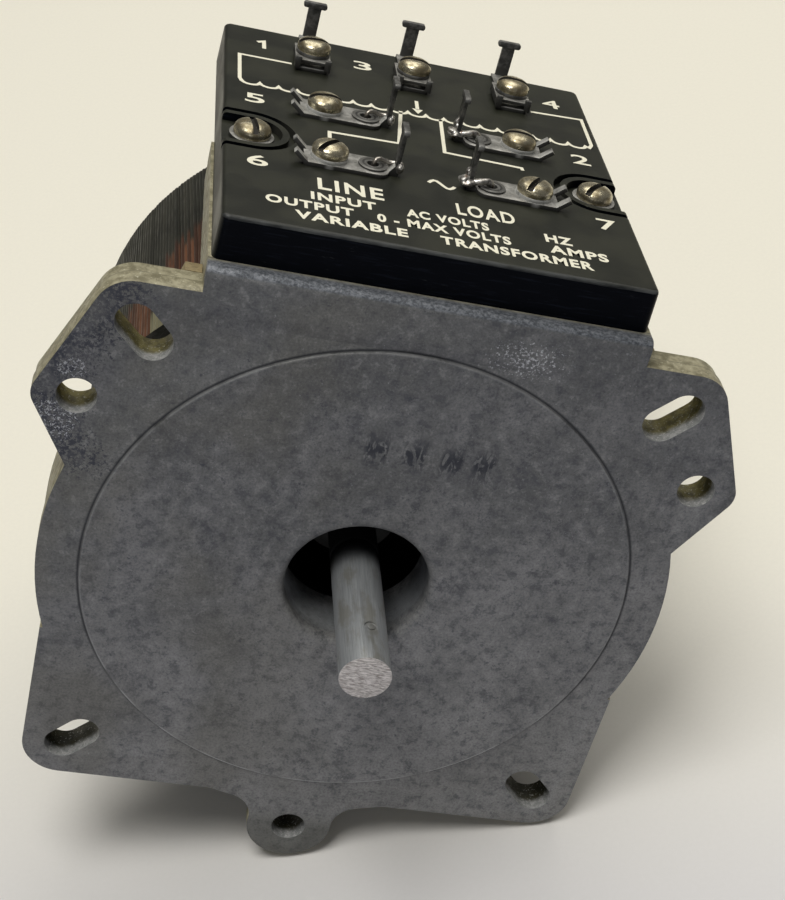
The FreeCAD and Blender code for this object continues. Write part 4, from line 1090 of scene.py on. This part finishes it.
def solder_joints():
    """Wires from the winding through the eyelets to the tabs of terminals 5, 6, 2 and 7."""
    for name in "5627":
        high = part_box("eyelets")[1]
        lug_low, lug_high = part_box("terminal_lug_" + name)
        y = (lug_low.y + lug_high.y) / 2 / MM
        side = -1 if lug_low.x < 0 else 1
        eyelet_x = side * (high.x / MM - 2.7)
        tab_x = side * min(abs(lug_low.x), abs(lug_high.x)) / MM
        top = high.z / MM
        if side < 0:
            path = moved((eyelet_x, y, top), (0, 0.2, -6.5), (0.1, 0.2, -0.8), (0.1, 0, 0.5),
                         (0.9, 0.5, 1.0), (2.2, 0.9, 0.55), (3.4, 1.0, 0.3))
            path += moved((tab_x, y, top), (-0.6, 0.8, 0.6))
            wire = tube("tap_wire_" + name, path, 0.42, "base", "tinned_copper")
            blob("solder_" + name, (tab_x - 0.1, y - 0.9, top + 0.5), (0.75, 1.25, 1.1),
                 ord(name) * 0.37)
        else:
            path = moved((eyelet_x, y, top), (0, 0, -6.5), (0, 0, -0.9), (-0.1, -0.3, 0.5),
                         (-1.2, -0.9, 1.1), (-2.5, -1.2, 0.8))
            path += moved((tab_x, y, top), (0.9, -1.0, 0.45), (-0.6, -0.6, 0.2))
            wire = tube("tap_wire_" + name, path, 0.62, "base", "tinned_copper", SOLDER)
            blob("solder_" + name, (tab_x + 0.1, y - 0.5, top + 0.35), (1.6, 1.7, 1.0),
                 ord(name) * 0.37, 0.3)
            blob("solder_foot_" + name, (tab_x + 0.35, y + 0.1, top + 1.5), (0.85, 1.15, 1.7),
                 ord(name) * 0.53, 0.3)
        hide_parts("tap_wire_" + name)


def pressed_spring():
    """The brush spring as a welded copy with its own mesh, on the rotor."""
    piece = piece_from("brush_spring_worn", clean_copy("brush_spring"), "rotor", "spring_steel")
    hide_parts("brush_spring")
    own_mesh(piece)


# ---- stage
def floor_up():
    roll, lean = math.radians(FLOOR_ROLL), math.radians(FLOOR_LEAN)
    return Vector((-math.sin(roll) * math.cos(lean), -math.sin(lean),
                   math.cos(roll) * math.cos(lean)))


def stage_floor():
    """A pale sheet that the object lies on, tilted in the object's own frame."""
    up = floor_up()
    lowest = min(up.dot(vertex.co) for node in nodes.values() for vertex in node.data.vertices)
    turn = UP.rotation_difference(up).to_matrix().to_4x4()
    mesh = bpy.data.meshes.new("floor")
    half = 4.0
    mesh.from_pydata([(-half, -half, 0), (half, -half, 0), (half, half, 0), (-half, half, 0)], [],
                     [(0, 1, 2, 3)])
    mesh.materials.append(pale_floor())
    floor = put("floor", mesh)
    floor.matrix_world = Matrix.Translation(up * lowest) @ turn


def area_light(name, place, size, watts, color):
    """A square soft light that looks at the object's middle."""
    lamp = put(name, arrange(bpy.data.lights.new(name, "AREA"), shape="SQUARE", size=size,
                             energy=watts, color=color))
    lamp.location = place
    target = Vector((0, 0.03, 0))
    lamp.rotation_euler = (target - Vector(place)).to_track_quat("-Z", "Y").to_euler()


def studio():
    """Soft light overhead, a rim light from behind, a faint fill and a dim even surround."""
    up = floor_up()
    back = (Vector((0, 1, 0)) - up * up.y).normalized()
    left = up.cross(back)
    area_light("key", up * 1.2 - back * 0.1 + left * 0.1, 0.5, 9.9, (1.0, 0.985, 0.96))
    area_light("fill", up * 0.35 - back * 1.2 + left * 0.3, 0.9, 2.2, (0.95, 0.965, 1.0))
    area_light("rim", up * 0.9 + back * 0.65 - left * 0.25, 0.9, 6.3, (1.0, 0.97, 0.9))
    world = bpy.data.worlds.new("surround")
    world.use_nodes = True
    world.node_tree.nodes["Background"].inputs["Color"].default_value = (0.86, 0.87, 0.9, 1)
    world.node_tree.nodes["Background"].inputs["Strength"].default_value = 0.09
    scene.world = world
    scene.view_settings.view_transform = "Standard"


def place_camera():
    azimuth, elevation = math.radians(CAMERA_AZIMUTH), math.radians(CAMERA_ELEVATION)
    back = Vector((math.sin(azimuth) * math.cos(elevation),
                   -math.cos(azimuth) * math.cos(elevation), math.sin(elevation)))
    turn = (-back).to_track_quat("-Z", "Y").to_matrix().to_4x4()
    camera = put("camera", arrange(bpy.data.cameras.new("camera"), sensor_width=36.0,
                                   lens=LENS_MM, clip_start=0.01, clip_end=20))
    roll = Matrix.Rotation(math.radians(CAMERA_ROLL), 4, "Z")
    camera.matrix_world = Matrix.Translation(Vector(CAMERA_PLACE) * MM) @ turn @ roll
    scene.camera = camera


# ---- the object
for node_name, node in nodes.items():
    node.data.materials.clear()
    node.data.materials.append(FINISHES[SLOT_OF[node_name]])

coil_turns()
commutator_bars()
board_lines()
board_lettering()
screw_heads("terminal_screws", 2.4, (8, 48, 6, -4, 58, -8, -6))
screw_heads("board_screws", 2.6, (100, 50), 1.2)
solder_joints()
softened("base_casting", 0.3)
for node_name in ("coil_clamp", "radiator", "brush_holder", "brush_cap", "hub_ring", "shaft"):
    softened(node_name, 0.25)
for number in "134":
    softened("terminal_lug_" + number, 0.18)
    softened("saddle_clamp_" + number, 0.15)
for number in "5627":
    softened("terminal_lug_" + number, 0.18)
for node_name in ("eyelets", "terminal_washers", "board_washers", "fibre_wedges"):
    softened(node_name, 0.1)

pressed_spring()
studio()
stage_floor()
place_camera()
